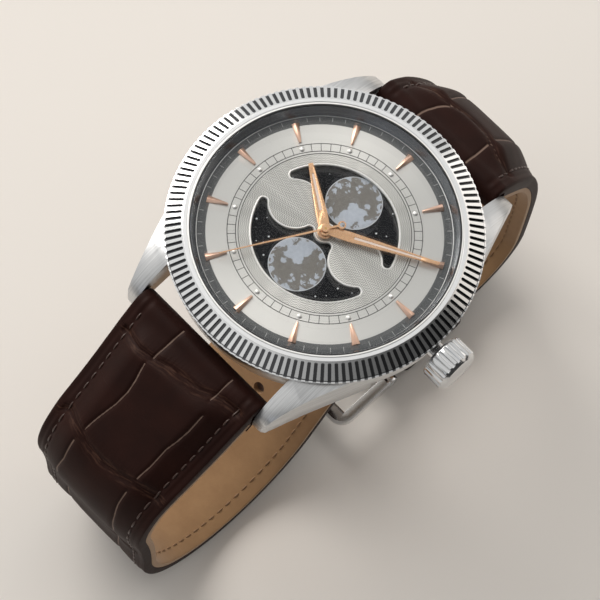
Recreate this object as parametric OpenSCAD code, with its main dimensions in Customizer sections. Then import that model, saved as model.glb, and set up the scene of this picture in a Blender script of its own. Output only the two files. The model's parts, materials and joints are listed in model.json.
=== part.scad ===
// Wristwatch with a fluted bezel, two moon apertures and a leather strap.
// Millimetres. The origin is the centre of the case back, +Z comes out of the dial,
// +X points to the crown at three o'clock and +Y to twelve o'clock.

/* [Case] */
// Radius of the crystal
crystal_r = 17.5; // [17.3:0.05:17.7]
// Rise of the crystal's dome
crystal_dome = 0.4; // [0.2:0.05:0.8]
// Width of the bezel's metal round the crystal
bezel_w = 3.1; // [3:0.05:3.6]
// Height of the bezel's flat ring over the case back
bezel_top = 9.5; // [9.4:0.05:9.8]
// Number of flutes round the bezel
flute_count = 138; // [90:2:144]
// Width of one flute
flute_w = 0.46; // [0.3:0.02:0.5]
// Depth of one flute
flute_d = 0.36; // [0.2:0.02:0.45]
// How far the bezel stands out over the middle case
case_step = 0.8; // [0.75:0.05:1]
// Width of the case back's edge outside the bore of the case
back_lip = 1.1; // [0.8:0.05:1.6]
// Thickness of the case back
back_t = 1.1; // [1:0.05:1.2]
// Distance from the middle case to the middle of a spring bar
bar_gap = 2.2; // [2.1:0.05:2.5]
// How far a lug reaches past the middle of its spring bar
lug_over = 1; // [0.9:0.05:1.4]
// Width of a lug at its tip
lug_w = 2; // [1.9:0.05:2.3]
// How much wider a lug is at its root
lug_flare = 4.4; // [4:0.1:4.8]
// Height of the spring bars
bar_z = 2.5; // [2.3:0.1:2.8]
// Radius of a spring bar's tube
bar_r = 0.9; // [0.75:0.05:0.95]

/* [Crown] */
// Radius of the crown
crown_r = 3.2; // [2.8:0.1:3.4]
// Length of the crown
crown_len = 3.7; // [3.2:0.1:4.2]
// Gap between the bezel's rim and the crown
crown_gap = 0.4; // [0.3:0.05:0.8]
// Number of flutes on the crown
crown_flutes = 22; // [16:2:26]
// Height of the stem's axis over the case back
stem_z = 4.6; // [4.5:0.05:4.7]
// Radius of the stem
stem_r = 0.45; // [0.35:0.05:0.5]

/* [Dial] */
// Height of the dial's face over the case back
dial_z = 7.7; // [7.65:0.05:7.75]
// Thickness of the dial plate
dial_t = 0.4; // [0.35:0.05:0.4]
// Width of the dark ring round the silver field
chapter_w = 2.05; // [1.8:0.05:2.4]
// Outer radius of the railway track
track_out = 12.75; // [12.5:0.05:12.9]
// Inner radius of the railway track
track_in = 11.65; // [11.5:0.05:11.8]
// Radius of the engine-turned centre plate
plate_r = 11.3; // [11:0.05:11.4]
// Outer radius of the two moon apertures
aperture_r = 9.65; // [9.2:0.05:9.8]
// Radius of the two round lobes between the apertures
lobe_r = 3.6; // [3.2:0.05:3.7]
// Distance from the centre to a lobe's centre
lobe_x = 5.6; // [5.4:0.05:5.8]
// Radius of the round hub between the apertures
hub_r = 1.48; // [1.3:0.02:1.6]
// Length of an hour marker
marker_len = 2.85; // [2.4:0.05:3]
// How far an hour marker reaches over the dark ring
marker_over = 0.45; // [0.3:0.05:0.7]
// Height of an hour marker
marker_h = 0.34; // [0.2:0.02:0.36]

/* [Hands] */
// Length of the hour hand
hour_len = 9.8; // [9:0.1:10.5]
// Length of the minute hand
minute_len = 15.4; // [14.5:0.1:15.6]
// Length of the second hand
second_len = 14.3; // [13.5:0.1:15.4]
// Thickness of the hour and minute hands
hand_t = 0.18; // [0.12:0.02:0.2]
// Clockwise angle of the hour hand from twelve
hour_at = 303; // [0:0.5:360]
// Clockwise angle of the minute hand from twelve
minute_at = 61; // [0:0.5:360]
// Clockwise angle of the second hand from twelve
second_at = 209; // [0:0.5:360]

/* [Movement] */
// Radius of the movement
movement_r = 12.9; // [12.7:0.05:13]
// Radius of the moon disc
moon_disc_r = 10.9; // [10.6:0.05:11]
// Radius of the battery
battery_r = 3.95; // [3.4:0.05:4]
// Thickness of the battery
battery_t = 2.1; // [1.6:0.05:2.1]
// Distance between the axes of the going train
train_a = 4; // [4:0.05:4.1]
// Distance between the axes of the motion work
motion_a = 2.6; // [2.55:0.05:2.65]

/* [Strap] */
// Width of the strap between the lugs
strap_w = 22; // [20:0.5:22.5]
// How much narrower the strap is at the buckle
strap_taper = 2; // [1.5:0.5:4]
// Thickness of the leather away from the lugs
leather_t = 1.5; // [1.2:0.05:1.7]
// Thickness of the lining
lining_t = 0.9; // [0.7:0.05:1]
// Extra thickness of the leather beside the lugs
strap_root = 0.9; // [0.4:0.05:1]
// Height of the raised pad in the middle of the strap
pad_h = 1.6; // [0.8:0.1:1.8]
// Width of the flat stitched edge beside the pad
edge_w = 1.9; // [1.6:0.1:2.6]
// Number of holes in the tail
hole_count = 7; // [4:1:7]
// Distance between two holes
hole_pitch = 6; // [5:0.1:6]
// Radius of a hole in the tail
hole_r = 0.9; // [0.7:0.05:1]

/* [Buckle] */
// Radius of the buckle's bar
pin_r = 0.75; // [0.6:0.05:0.8]
// Length of the buckle's frame in front of the bar
frame_len = 10.5; // [9.5:0.1:11]
// Thickness of the buckle's frame
frame_t = 1.6; // [1.2:0.1:1.8]
// Width of each keeper along the strap
keeper_w = 4.2; // [3.5:0.1:4.5]
// Thickness of a keeper's leather
keeper_t = 1.1; // [0.9:0.05:1.2]

/* [Hidden] */

// Running clearance between a shaft and its hole
run = 0.06;
// Static clearance between parts that are fitted by hand
gap = 0.1;
// A cut runs past the face that it opens by this much
over = 0.5;

steel = [0.80, 0.81, 0.83];
brass = [0.80, 0.66, 0.38];
rose = [0.84, 0.60, 0.44];
silver = [0.83, 0.83, 0.81];
dark_grey = [0.27, 0.28, 0.29];
moon_blue = [0.05, 0.06, 0.10];
brown = [0.13, 0.07, 0.06];
tan = [0.62, 0.42, 0.25];
black = [0.08, 0.08, 0.09];

// Heights through the watch, from the case back to the dial
dial_under = dial_z - dial_t;
ring_t = 0.12;
moon_z = dial_under - 0.3;
moon_t = 0.15;
plate_z = 4.2;
plate_top = 5.9;
bridge_z = 1.75;
bridge_t = 0.6;
bridge_top = bridge_z + bridge_t;
crystal_z = bezel_top - 0.2;
crystal_edge = 0.6;
hour_z = dial_z + 0.4;
minute_z = hour_z + hand_t + 0.22;
second_z = minute_z + hand_t + 0.2;
second_t = 0.1;

// Radii that fit round each other
bezel_bore = crystal_r + 0.4;
bezel_r = bezel_bore + bezel_w;
case_r = bezel_r - case_step;
dial_r = bezel_bore - 0.3;
case_bore = dial_r - 1.5;
back_r = case_bore + back_lip;
feet_r = case_bore - 0.9;
dial_seat_r = dial_r + gap;
silver_r = dial_r - chapter_w;
marker_out = silver_r + marker_over;
marker_in = marker_out - marker_len;
slope_r = bezel_bore - 1.1;
seconds_r = 0.13;
centre_tube_r = 0.3;
minute_tube_r = 0.46;
hour_tube_r = 0.8;
moon_boss_r = 1.25;

bar_y = case_r + bar_gap;
lug_reach = bar_y + lug_over;
strap_w_end = strap_w - strap_taper;
lug_gap = strap_w + 0.2;
lug_side = lug_gap / 2;
crown_x = bezel_r + crown_gap;
tube_r = 1.2;
cavity_r = tube_r + 0.55;
tube_bore = stem_r + 0.2;

// Gears: teeth, then the module that the axis distance gives
third_pinion_n = 8;
centre_n = 64;
centre_m = 2 * train_a / (third_pinion_n + centre_n);
third_n = 60;
second_pinion_n = 8;
third_m = 2 * train_a / (third_n + second_pinion_n);
cannon_n = 12;
minute_n = 36;
cannon_m = 2 * motion_a / (cannon_n + minute_n);
minute_pinion_n = 10;
hour_n = 40;
hour_m = 2 * motion_a / (minute_pinion_n + hour_n);
day_n = 80;
setting_n = 24;
second_n = 40;
mid_pinion_n = 8;
second_m = 2 * train_a / (second_n + mid_pinion_n);
mid_n = 48;
rotor_n = 8;
mid_m = 0.1;
mid_a = train_a;
rotor_a = mid_m * (mid_n + rotor_n) / 2;
day_a = hour_m * (hour_n + day_n) / 2;
setting_a = motion_a + cannon_m * (minute_n + setting_n) / 2;

// Directions of the wheels from the centre
third_dir = 90;
mid_dir = -60;
day_dir = 202.5;
third_at = [train_a * cos(third_dir), train_a * sin(third_dir)];
mid_at = [mid_a * cos(mid_dir), mid_a * sin(mid_dir)];
rotor_at = [(mid_a + rotor_a) * cos(mid_dir), (mid_a + rotor_a) * sin(mid_dir)];
day_at = [day_a * cos(day_dir), day_a * sin(day_dir)];
battery_at = [-(movement_r - battery_r - 0.35), 0];

// Pieces on the winding stem
square_r = 0.3;
neck_r = 0.75;
pinion_x = 7.6;
lever_x = 10.8;
lever_t = 0.45;

train_arbor = 0.2;
pivot_hole = train_arbor + run;
second_wheel_z = 2.7;
second_pinion_z = 2.95;
third_wheel_z = 3.0;
mid_wheel_z = 3.27;
centre_wheel_z = 3.7;
wheel_t = 0.12;
cannon_z = 6.05;
minute_wheel_z = 6.1;
hour_wheel_z = 6.45;
cover_z = 6.66;
cover_t = 0.12;
finger_z = 6.84;
stud_r = 0.25;

// Screws that hold the train bridge, and the one that holds the battery clamp
bridge_screw_at = [[5.4, 4.6], [-3.6, -7.2], [-5.2, 8.2]];
clamp_screw_at = [battery_at[0], -battery_r - 1.7];
battery_low = plate_z - 0.6 - battery_t;
clamp_z = battery_low - 0.15;
// The stepping motor lies square to the line from the centre to the rotor
motor_turn = mid_dir + 90;
motor_v = -3.2;
motor_u = 3.9;
stator_z = 2.55;
stator_t = 0.35;

// Strap routes, each from its spring bar: length and turn in degrees of each stretch
route_12 = [[10, -9], [16.4, -33], [12, -4], [11.8, -89], [18.6, 0]];
heading_12 = -45;
route_6 = [[15.9, 14], [11.7, -74], [11.2, 10], [26.4, -92], [16, -53], [15, 0]];
heading_6 = -40;
step = 2.4;
// Room for the glue between leather and lining
glue = 0.02;
// The pad ends this far along the strap, and the strap narrows between these heights
pad_len = 15 * step;
taper_top = 2;
taper_drop = 16;

// Distance along a route and the place there: y, z and heading
function leg(p, l, t) =
    abs(t) < 0.001
        ? [p[0] + l * cos(p[2]), p[1] + l * sin(p[2]), p[2]]
        : let (r = l * 180 / (t * PI))
          [p[0] + r * (sin(p[2] + t) - sin(p[2])), p[1] - r * (cos(p[2] + t) - cos(p[2])), p[2] + t];
function walk(p, legs, s, i = 0) =
    i == len(legs) - 1 || s <= legs[i][0]
        ? leg(p, s, legs[i][1] * s / legs[i][0])
        : walk(leg(p, legs[i][0], legs[i][1]), legs, s - legs[i][0], i + 1);
function length(legs, i = 0) = i == len(legs) ? 0 : legs[i][0] + length(legs, i + 1);
function beside(p, d) = [p[0] - d * sin(p[2]), p[1] + d * cos(p[2])];
function stations(a, b) = [for (i = [0:ceil((b - a) / step)]) min(b, a + i * step)];
function ease(t) = let (c = max(0, min(1, t))) c * c * (3 - 2 * c);
function root_extra(s) = strap_root * (1 - ease(s / 26));
function pad_extra(s) = pad_h * (1 - ease((s - 8) / 30));

len_12 = length(route_12);
len_6 = length(route_6);
from_bar = [bar_y, bar_z, 0];
start_12 = [bar_y, bar_z, heading_12];
start_6 = [bar_y, bar_z, heading_6];
end_12 = walk(start_12, route_12, len_12);
pin_at = leg(end_12, 1.2, 0);
bottom_z = end_12[1];
keeper_room = 2 * (leather_t + lining_t) + 0.2;
loop_r = bar_r + 1.15;
tongue_w = 1.7;
pin_tip_r = 0.4;
fixed_keeper_y = pin_at[0] + keeper_w / 2 + 4.1;
sliding_keeper_y = fixed_keeper_y + keeper_w + 3.4;
front_y = pin_at[0] - frame_len;

// Outline of a toothed wheel with one tooth centred on +X
function gear_points(n, m, out = 0.75, in = 1.15) = [
    for (i = [0:n - 1])
        for (c = [[-0.29, n / 2 - in], [-0.11, n / 2 + out], [0.11, n / 2 + out], [0.29, n / 2 - in]])
            m * c[1] * [cos((i + c[0]) * 360 / n), sin((i + c[0]) * 360 / n)]
];

module gear(n, m, z, t, turn) {
    translate([0, 0, z])
        rotate([0, 0, turn])
            linear_extrude(t)
                polygon(gear_points(n, m));
}

module disc(r, z, t) {
    translate([0, 0, z])
        cylinder(r = r, h = t, $fn = 96);
}

module tube(r_out, r_in, z, t) {
    difference() {
        disc(r_out, z, t);
        disc(r_in, z - over, t + 2 * over);
    }
}

// A revolved piece from its half outline, as radius and height
module turned(points) {
    rotate_extrude($fn = 180)
        polygon(points);
}

// A rod along X
module rod_x(r, x, l) {
    translate([x, 0, 0])
        rotate([0, 90, 0])
            cylinder(r = r, h = l, $fn = 48);
}

// Case

function lug_x(t) = lug_side + lug_w + lug_flare * (1 - t);
lug_root_y = 10.2;
lug_tip_r = 1.1;
lug_plan = concat(
    [[lug_side, lug_root_y - 1.5], [lug_x(0) + 0.4, lug_root_y - 1.5]],
    [for (i = [0:8]) [lug_x(i / 8), lug_root_y + (lug_reach - lug_tip_r - lug_root_y) * i / 8]],
    [for (a = [30:30:90]) [lug_side + lug_w - lug_tip_r + lug_tip_r * cos(a), lug_reach - lug_tip_r + lug_tip_r * sin(a)]],
    [[lug_side, lug_reach]]
);
// Top of a lug, as distance from the centre and height, falling away to the tip
function lug_top(t) = [13 + (lug_reach - 13) * sin(90 * t), 1.2 + 5.6 * cos(90 * t)];
lug_side_view = concat(
    [[8, 7.2], [11, 7.2]],
    [for (i = [0:9]) lug_top(i / 9)],
    [[lug_reach - 0.15, 0.9], [lug_reach - 0.7, 0.55], [bar_y - 0.8, 0.6], [bar_y - 2.4, 1], [bar_y - 5.4, 1.4], [8, 1.4]]
);

module lug() {
    intersection() {
        linear_extrude(9)
            polygon(lug_plan);
        rotate([90, 0, 90])
            linear_extrude(lug_x(0) + 1)
                polygon(lug_side_view);
    }
}

module lug_pair() {
    lug();
    mirror([1, 0, 0])
        lug();
}

module mid_case() {
    color(steel)
        difference() {
            union() {
                turned([
                    [15, back_t], [case_r - 1.5, back_t], [case_r - 0.7, 2], [case_r - 0.1, 3.2], [case_r, stem_z],
                    [case_r, stem_z + 1.8], [case_r - 0.3, dial_z + 0.05], [15, dial_z + 0.05]
                ]);
                lug_pair();
                mirror([0, 1, 0])
                    lug_pair();
            }
            disc(case_bore, 0, dial_under);
            disc(dial_seat_r, dial_under, 3);
            tube(back_r - 0.2, back_r - 0.8, back_t - over, over + 0.4);
            translate([0, 0, stem_z])
                rod_x(tube_r, case_bore - 3, 10);
            for (y = [-bar_y, bar_y])
                translate([0, y, bar_z])
                    rod_x(0.5, -lug_side - 1.4, lug_gap + 2.8);
        }
}

module crown_tube() {
    color(steel)
        translate([0, 0, stem_z])
            difference() {
                rod_x(tube_r, case_bore + 0.1, crown_x + 1.7 - case_bore);
                rod_x(tube_bore, case_bore - 1, crown_x + 4 - case_bore);
            }
}

flute_in = bezel_r - 2.3;
flat_out = bezel_r - 2.5;
slope_out = bezel_r - 0.25;
slope_low = dial_z + 0.75;
slope_angle = atan((bezel_top - slope_low) / (slope_out - flat_out));

// One flute, seen along the slope, with a round inner end
module flute() {
    r = flute_w / 2;
    translate([flat_out, 0, bezel_top])
        rotate([0, slope_angle, 0])
            translate([0, 0, -flute_d])
                linear_extrude(2)
                    union() {
                        translate([flute_in - flat_out + r, 0])
                            circle(r = r, $fn = 24);
                        translate([flute_in - flat_out + r, -r])
                            square([4, 2 * r]);
                    }
}

module bezel() {
    color(steel)
        difference() {
            turned([
                [bezel_bore, dial_z + 0.05], [bezel_r - 0.7, dial_z + 0.05], [bezel_r - 0.15, dial_z + 0.15],
                [bezel_r, dial_z + 0.25], [bezel_r, dial_z + 0.42], [slope_out, dial_z + 0.5],
                [slope_out, slope_low], [flat_out, bezel_top], [bezel_bore + 0.15, bezel_top],
                [bezel_bore, bezel_top - 0.12]
            ]);
            for (i = [0:flute_count - 1])
                rotate([0, 0, (i + 0.5) * 360 / flute_count])
                    flute();
        }
}

// The dome's radius from its rise over the crystal
dome_r = (pow(crystal_r, 2) + pow(crystal_dome, 2)) / (2 * crystal_dome);

module crystal() {
    color([0.85, 0.92, 0.95, 0.25])
        turned(concat(
            [[0, crystal_z], [crystal_r, crystal_z], [crystal_r, crystal_z + crystal_edge - 0.15]],
            [for (i = [9.8:-1.4:0])
                let (r = crystal_r * i / 10)
                [r, crystal_z + crystal_edge + crystal_dome - dome_r + sqrt(dome_r * dome_r - r * r)]]
        ));
}

module crystal_gasket() {
    color(black)
        tube(bezel_bore - 0.02, crystal_r + 0.02, crystal_z, 0.35);
}

module rehaut() {
    color(dark_grey)
        turned([
            [slope_r, dial_z], [bezel_bore - 0.05, dial_z + 0.06], [bezel_bore - 0.05, crystal_z],
            [bezel_bore - 0.45, crystal_z], [slope_r, dial_z + 0.3]
        ]);
}

module case_back() {
    color(steel)
        difference() {
            turned([
                [0, 0], [back_r - 1.6, 0], [back_r - 0.5, 0.25], [back_r, 0.7], [back_r, back_t],
                [case_bore - 0.05, back_t], [case_bore - 0.05, 1.9], [case_bore - 0.6, 1.9],
                [case_bore - 0.6, back_t], [0, back_t]
            ]);
            translate([0, -back_r, back_t])
                cube([3, 1.4, 0.7], center = true);
        }
}

module back_gasket() {
    color(black)
        tube(back_r - 0.25, back_r - 0.75, back_t, 0.35);
}

module spring_bar(y) {
    color(steel)
        translate([0, y, bar_z]) {
            rod_x(bar_r, -strap_w / 2 + 0.4, strap_w - 0.8);
            rod_x(0.62, -strap_w / 2 - 0.05, strap_w + 0.1);
            rod_x(0.42, -lug_side - 1.2, lug_gap + 2.4);
        }
}

module spring_bar_12() {
    spring_bar(bar_y);
}

module spring_bar_6() {
    spring_bar(-bar_y);
}

// Dial

module sector_disc(r) {
    circle(r = r, $fn = 120);
}

// One moon aperture, on the six o'clock side
module aperture() {
    round_r = 0.55;
    offset(r = round_r, $fn = 20)
        offset(delta = -round_r)
            difference() {
                intersection() {
                    sector_disc(aperture_r);
                    translate([-aperture_r, -aperture_r])
                        square([2 * aperture_r, aperture_r - 0.6]);
                }
                for (x = [-lobe_x, lobe_x])
                    translate([x, 0])
                        circle(r = lobe_r, $fn = 72);
                circle(r = hub_r, $fn = 48);
            }
}

module apertures(z, t) {
    for (a = [0, 180])
        rotate([0, 0, a])
            translate([0, 0, z])
                linear_extrude(t)
                    aperture();
}

seat_t = 0.18;

module dial_plate() {
    color(silver)
        difference() {
            union() {
                disc(dial_r, dial_under, dial_t);
                for (a = [20, 200])
                    rotate([0, 0, a])
                        translate([feet_r, 0, dial_under - 1])
                            cylinder(r = 0.4, h = 1.1, $fn = 24);
            }
            tube(dial_r + over, silver_r, dial_z - ring_t, 1);
            disc(plate_r, dial_z - seat_t, 1);
            disc(aperture_r + 0.3, dial_under - over, 1);
        }
}

module minute_ring() {
    color(dark_grey)
        tube(dial_r, silver_r, dial_z - ring_t, ring_t);
}

module centre_plate() {
    color(silver)
        difference() {
            disc(plate_r, dial_z - seat_t, seat_t - 0.03);
            apertures(dial_z - 1, 2);
            disc(hour_tube_r + gap, dial_z - 1, 2);
        }
}

// A wedge with two facets that meet on a ridge
module marker() {
    w_in = 0.15;
    w_out = 0.53;
    intersection() {
        translate([0, 0, dial_z])
            linear_extrude(marker_h)
                polygon([[-w_in, marker_in], [w_in, marker_in], [w_out, marker_out], [-w_out, marker_out]]);
        rotate([90, 0, 180])
            linear_extrude(marker_out)
                polygon([[-1, dial_z - 1], [1, dial_z - 1], [0.62, dial_z + 0.06], [0, dial_z + marker_h], [-0.62, dial_z + 0.06]]);
    }
}

module hour_markers() {
    color(rose)
        for (h = [0:11])
            rotate([0, 0, h * 30])
                marker();
}

module track_pearls() {
    r = 0.36;
    color(steel)
        for (h = [0:11])
            rotate([0, 0, h * 30])
                translate([0, (track_in + track_out) / 2, dial_z])
                    rotate_extrude($fn = 24)
                        polygon([[0, 0], [r, 0], [r * 0.86, 0.12], [r * 0.5, 0.22], [0, 0.26]]);
}

// Hands

// A lance-shaped hand along +Y with a slot along its middle
module lance(l, w, w_tip, w_hub, wide_at, slot_a, slot_b, slot_w) {
    difference() {
        union() {
            polygon([[-w_hub, 0], [-w / 2, wide_at], [-w_tip / 2, l], [w_tip / 2, l], [w / 2, wide_at], [w_hub, 0]]);
            circle(r = w_hub + 0.28, $fn = 40);
        }
        polygon([[-slot_w / 2, slot_a], [slot_w / 2, slot_a], [slot_w / 3, slot_b], [-slot_w / 3, slot_b]]);
    }
}

module hour_hand() {
    color(rose)
        rotate([0, 0, -hour_at])
            translate([0, 0, hour_z])
                difference() {
                    union() {
                        linear_extrude(hand_t)
                            lance(hour_len, 1.5, 0.62, 0.72, 2.6, 3, 8.3, 0.42);
                        translate([0, 0, -0.32])
                            cylinder(r = 1.04, h = 0.34, $fn = 48);
                    }
                    translate([0, 0, -1])
                        cylinder(r = minute_tube_r + 0.07, h = 3, $fn = 48);
                    translate([0, 0, -1])
                        cylinder(r = hour_tube_r + 0.01, h = 0.99, $fn = 48);
                }
}

module minute_hand() {
    color(rose)
        rotate([0, 0, -minute_at])
            translate([0, 0, minute_z])
                difference() {
                    union() {
                        linear_extrude(hand_t)
                            lance(minute_len, 1.45, 0.46, 0.6, 3.1, 3.9, 13, 0.36);
                        translate([0, 0, -0.1])
                            cylinder(r = 0.8, h = hand_t + 0.16, $fn = 48);
                    }
                    translate([0, 0, -1])
                        cylinder(r = centre_tube_r + 0.01, h = 3, $fn = 48);
                }
}

module second_hand() {
    color(rose)
        rotate([0, 0, -second_at])
            translate([0, 0, second_z])
                difference() {
                    union() {
                        linear_extrude(second_t) {
                            polygon([[-0.14, -1.78], [-0.07, second_len], [0.07, second_len], [0.14, -1.78]]);
                            difference() {
                                translate([0, -2.2])
                                    circle(r = 0.55, $fn = 32);
                                translate([0, -2.25])
                                    circle(r = 0.33, $fn = 24);
                            }
                        }
                        cylinder(r = 0.5, h = second_t + 0.1, $fn = 40);
                        translate([0, 0, -0.08])
                            cylinder(r = 0.3, h = 0.1, $fn = 32);
                    }
                    translate([0, 0, -1])
                        cylinder(r = seconds_r + 0.005, h = 3, $fn = 32);
                }
}

// Movement, dial side

module hour_wheel() {
    color(brass)
        difference() {
            union() {
                gear(hour_n, hour_m, hour_wheel_z, wheel_t, 180 / hour_n);
                disc(hour_tube_r, hour_wheel_z, hour_z - 0.03 - hour_wheel_z);
            }
            disc(minute_tube_r + 0.07, 5, 5);
        }
}

module cannon_pinion() {
    color(steel)
        difference() {
            union() {
                gear(cannon_n, cannon_m, cannon_z, 0.3, 0);
                disc(minute_tube_r, cannon_z, minute_z - 0.12 - cannon_z);
            }
            disc(centre_tube_r + 0.01, 5, 5);
        }
}

module minute_wheel() {
    color(brass)
        translate([motion_a, 0, 0])
            difference() {
                union() {
                    gear(minute_n, cannon_m, minute_wheel_z, wheel_t, 180 + 180 / minute_n);
                    gear(minute_pinion_n, hour_m, minute_wheel_z, cover_z - 0.06 - minute_wheel_z, 180);
                }
                disc(stud_r + run, 5, 3);
            }
}

module setting_wheel() {
    color(steel)
        translate([setting_a, 0, 0])
            difference() {
                union() {
                    gear(setting_n, cannon_m, minute_wheel_z, wheel_t, setting_turn);
                    disc(0.6, minute_wheel_z - 0.1, wheel_t + 0.2);
                }
                disc(stud_r + run, 5, 3);
            }
}

// The minute wheel shows the phase below where it meets the setting wheel
minute_phase = (0 - 180 - 180 / minute_n) * minute_n / 360;
setting_turn = 180 + (minute_phase - floor(minute_phase) + 0.5) * 360 / setting_n;

module day_wheel() {
    color(brass)
        translate([day_at[0], day_at[1], 0])
            difference() {
                union() {
                    gear(day_n, hour_m, hour_wheel_z, wheel_t, day_dir + 180 + 180 / day_n);
                    disc(0.62, hour_wheel_z, finger_z + 0.1 - hour_wheel_z);
                    translate([0, 0, finger_z])
                        rotate([0, 0, day_dir])
                            linear_extrude(0.1)
                                polygon([[0, -0.5], [1.6, -0.16], [1.9, 0], [1.6, 0.16], [0, 0.5]]);
                }
                disc(stud_r + run, 5, cover_z + 0.06 - 5);
            }
}

module moon_disc() {
    color(moon_blue)
        difference() {
            union() {
                disc(moon_disc_r, moon_z, moon_t);
                gear(59, 2 * (day_a - 2.05) / 60.5, finger_z, moon_z - finger_z + 0.02, 0);
            }
            disc(moon_boss_r + run, 5, 5);
        }
}

module motion_cover() {
    color(brass)
        difference() {
            union() {
                disc(3.2, cover_z, cover_t);
                disc(moon_boss_r, cover_z, moon_z + moon_t + 0.04 - cover_z);
                for (a = [100, -100])
                    rotate([0, 0, a])
                        translate([3.9, 0, cover_z])
                            cylinder(r = 0.9, h = cover_t, $fn = 36);
            }
            disc(hour_tube_r + 0.07, 5, 5);
            translate([motion_a, 0, 0])
                disc(stud_r + 0.02, 5, 5);
        }
}

module mainplate() {
    color(brass)
        difference() {
            union() {
                disc(movement_r, plate_z, plate_top - plate_z);
                disc(1.1, plate_top, 0.1);
                translate([motion_a, 0, 0])
                    disc(stud_r, plate_top, cover_z + cover_t - plate_top);
                translate([setting_a, 0, 0])
                    disc(stud_r, plate_top, 0.5);
                translate([day_at[0], day_at[1], 0])
                    disc(stud_r, plate_top, cover_z - plate_top);
                for (a = [100, -100])
                    rotate([0, 0, a])
                        translate([3.9, 0, 0])
                            disc(0.42, plate_top - 0.2, cover_z - plate_top + 0.2);
                for (p = bridge_screw_at)
                    translate([p[0], p[1], 0])
                        disc(1.1, bridge_top, plate_z - bridge_top + 0.1);
                on_motor()
                    for (u = [-motor_u, motor_u])
                        translate([u, 0, 0])
                            disc(0.5, stator_z + stator_t, plate_z - stator_z - stator_t + 0.1);
            }
            disc(centre_tube_r + 0.05, 0, 10);
            for (p = [third_at, mid_at, rotor_at])
                translate([p[0], p[1], 0])
                    disc(pivot_hole, 0, plate_z + 0.3);
            for (p = bridge_screw_at)
                translate([p[0], p[1], 0])
                    disc(0.45, 0, plate_z - 0.6);
            translate([clamp_screw_at[0], clamp_screw_at[1], 0])
                disc(0.45, 0, plate_z + 0.6);
            translate([0, 0, stem_z])
                rod_x(stem_r + 0.15, 5.2, 10);
            translate([7, -1.7, 0])
                cube([3.2, 3.4, 8]);
            translate([lever_x - 0.15, -0.2, 0])
                cube([3, 1.05, stem_z + 0.4]);
        }
}

// Movement, train side

module train_bridge() {
    color([0.75, 0.72, 0.62])
        difference() {
            translate([0, 0, bridge_z])
                linear_extrude(bridge_t)
                    union() {
                        circle(r = 2.4, $fn = 60);
                        for (p = [third_at, rotor_at, bridge_screw_at[0], bridge_screw_at[1], bridge_screw_at[2]]) {
                            rotate([0, 0, atan2(p[1], p[0])])
                                translate([0, -1.05])
                                    square([norm(p), 2.1]);
                            translate(p)
                                circle(r = 1.4, $fn = 40);
                        }
                    }
            for (p = [[0, 0], third_at, mid_at, rotor_at])
                translate([p[0], p[1], 0])
                    disc(pivot_hole, bridge_top - 0.4, 1);
            for (p = bridge_screw_at)
                translate([p[0], p[1], 0])
                    disc(0.52, 0, 5);
        }
}

// A slotted screw, with its head's under side at z
module screw(p, z, t, l) {
    translate([p[0], p[1], z])
        difference() {
            union() {
                translate([0, 0, -t])
                    cylinder(r = 0.9, h = t, $fn = 40);
                cylinder(r = 0.44, h = l, $fn = 40);
            }
            translate([-1, -0.1, -t - 1])
                cube([2, 0.2, 1 + t / 2]);
        }
}

module bridge_screws() {
    color(steel) {
        for (p = bridge_screw_at)
            screw(p, bridge_z, 0.3, 1.4);
        screw(clamp_screw_at, clamp_z, 0.2, 3.1);
    }
}

module centre_wheel() {
    color(brass)
        difference() {
            union() {
                gear(centre_n, centre_m, centre_wheel_z, wheel_t, third_dir + 180 / centre_n);
                disc(centre_tube_r, centre_wheel_z, minute_z + hand_t + 0.05 - centre_wheel_z);
                disc(0.6, centre_wheel_z, 0.35);
            }
            disc(seconds_r + run, 0, 12);
        }
}

module seconds_wheel() {
    color(brass) {
        gear(second_n, second_m, second_wheel_z, wheel_t, mid_dir);
        gear(second_pinion_n, third_m, second_wheel_z, third_wheel_z + wheel_t + 0.12 - second_wheel_z, third_dir);
        disc(seconds_r, bridge_top - 0.35, second_z + second_t + 0.12 - bridge_top + 0.35);
    }
}

module third_wheel() {
    color(brass)
        translate([third_at[0], third_at[1], 0]) {
            gear(third_n, third_m, third_wheel_z, wheel_t, third_dir + 180 + 180 / third_n);
            gear(third_pinion_n, centre_m, third_wheel_z, centre_wheel_z + 0.25 - third_wheel_z, third_dir + 180);
            disc(train_arbor, bridge_top - 0.35, plate_z + 0.25 - bridge_top + 0.35);
        }
}

module intermediate_wheel() {
    color(brass)
        translate([mid_at[0], mid_at[1], 0]) {
            gear(mid_n, mid_m, mid_wheel_z, wheel_t, mid_dir);
            gear(mid_pinion_n, second_m, second_wheel_z - 0.1, mid_wheel_z - second_wheel_z + 0.15, mid_dir + 180 + 180 / mid_pinion_n);
            disc(train_arbor, bridge_top - 0.35, plate_z + 0.25 - bridge_top + 0.35);
        }
}

module rotor() {
    color(dark_grey)
        translate([rotor_at[0], rotor_at[1], 0]) {
            gear(rotor_n, mid_m, mid_wheel_z - 0.1, 0.35, mid_dir + 180 + 180 / rotor_n);
            disc(0.72, 2.5, 0.5);
            disc(train_arbor, bridge_top - 0.35, plate_z + 0.25 - bridge_top + 0.35);
        }
}

module on_motor() {
    translate([rotor_at[0], rotor_at[1], 0])
        rotate([0, 0, motor_turn])
            children();
}

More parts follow.
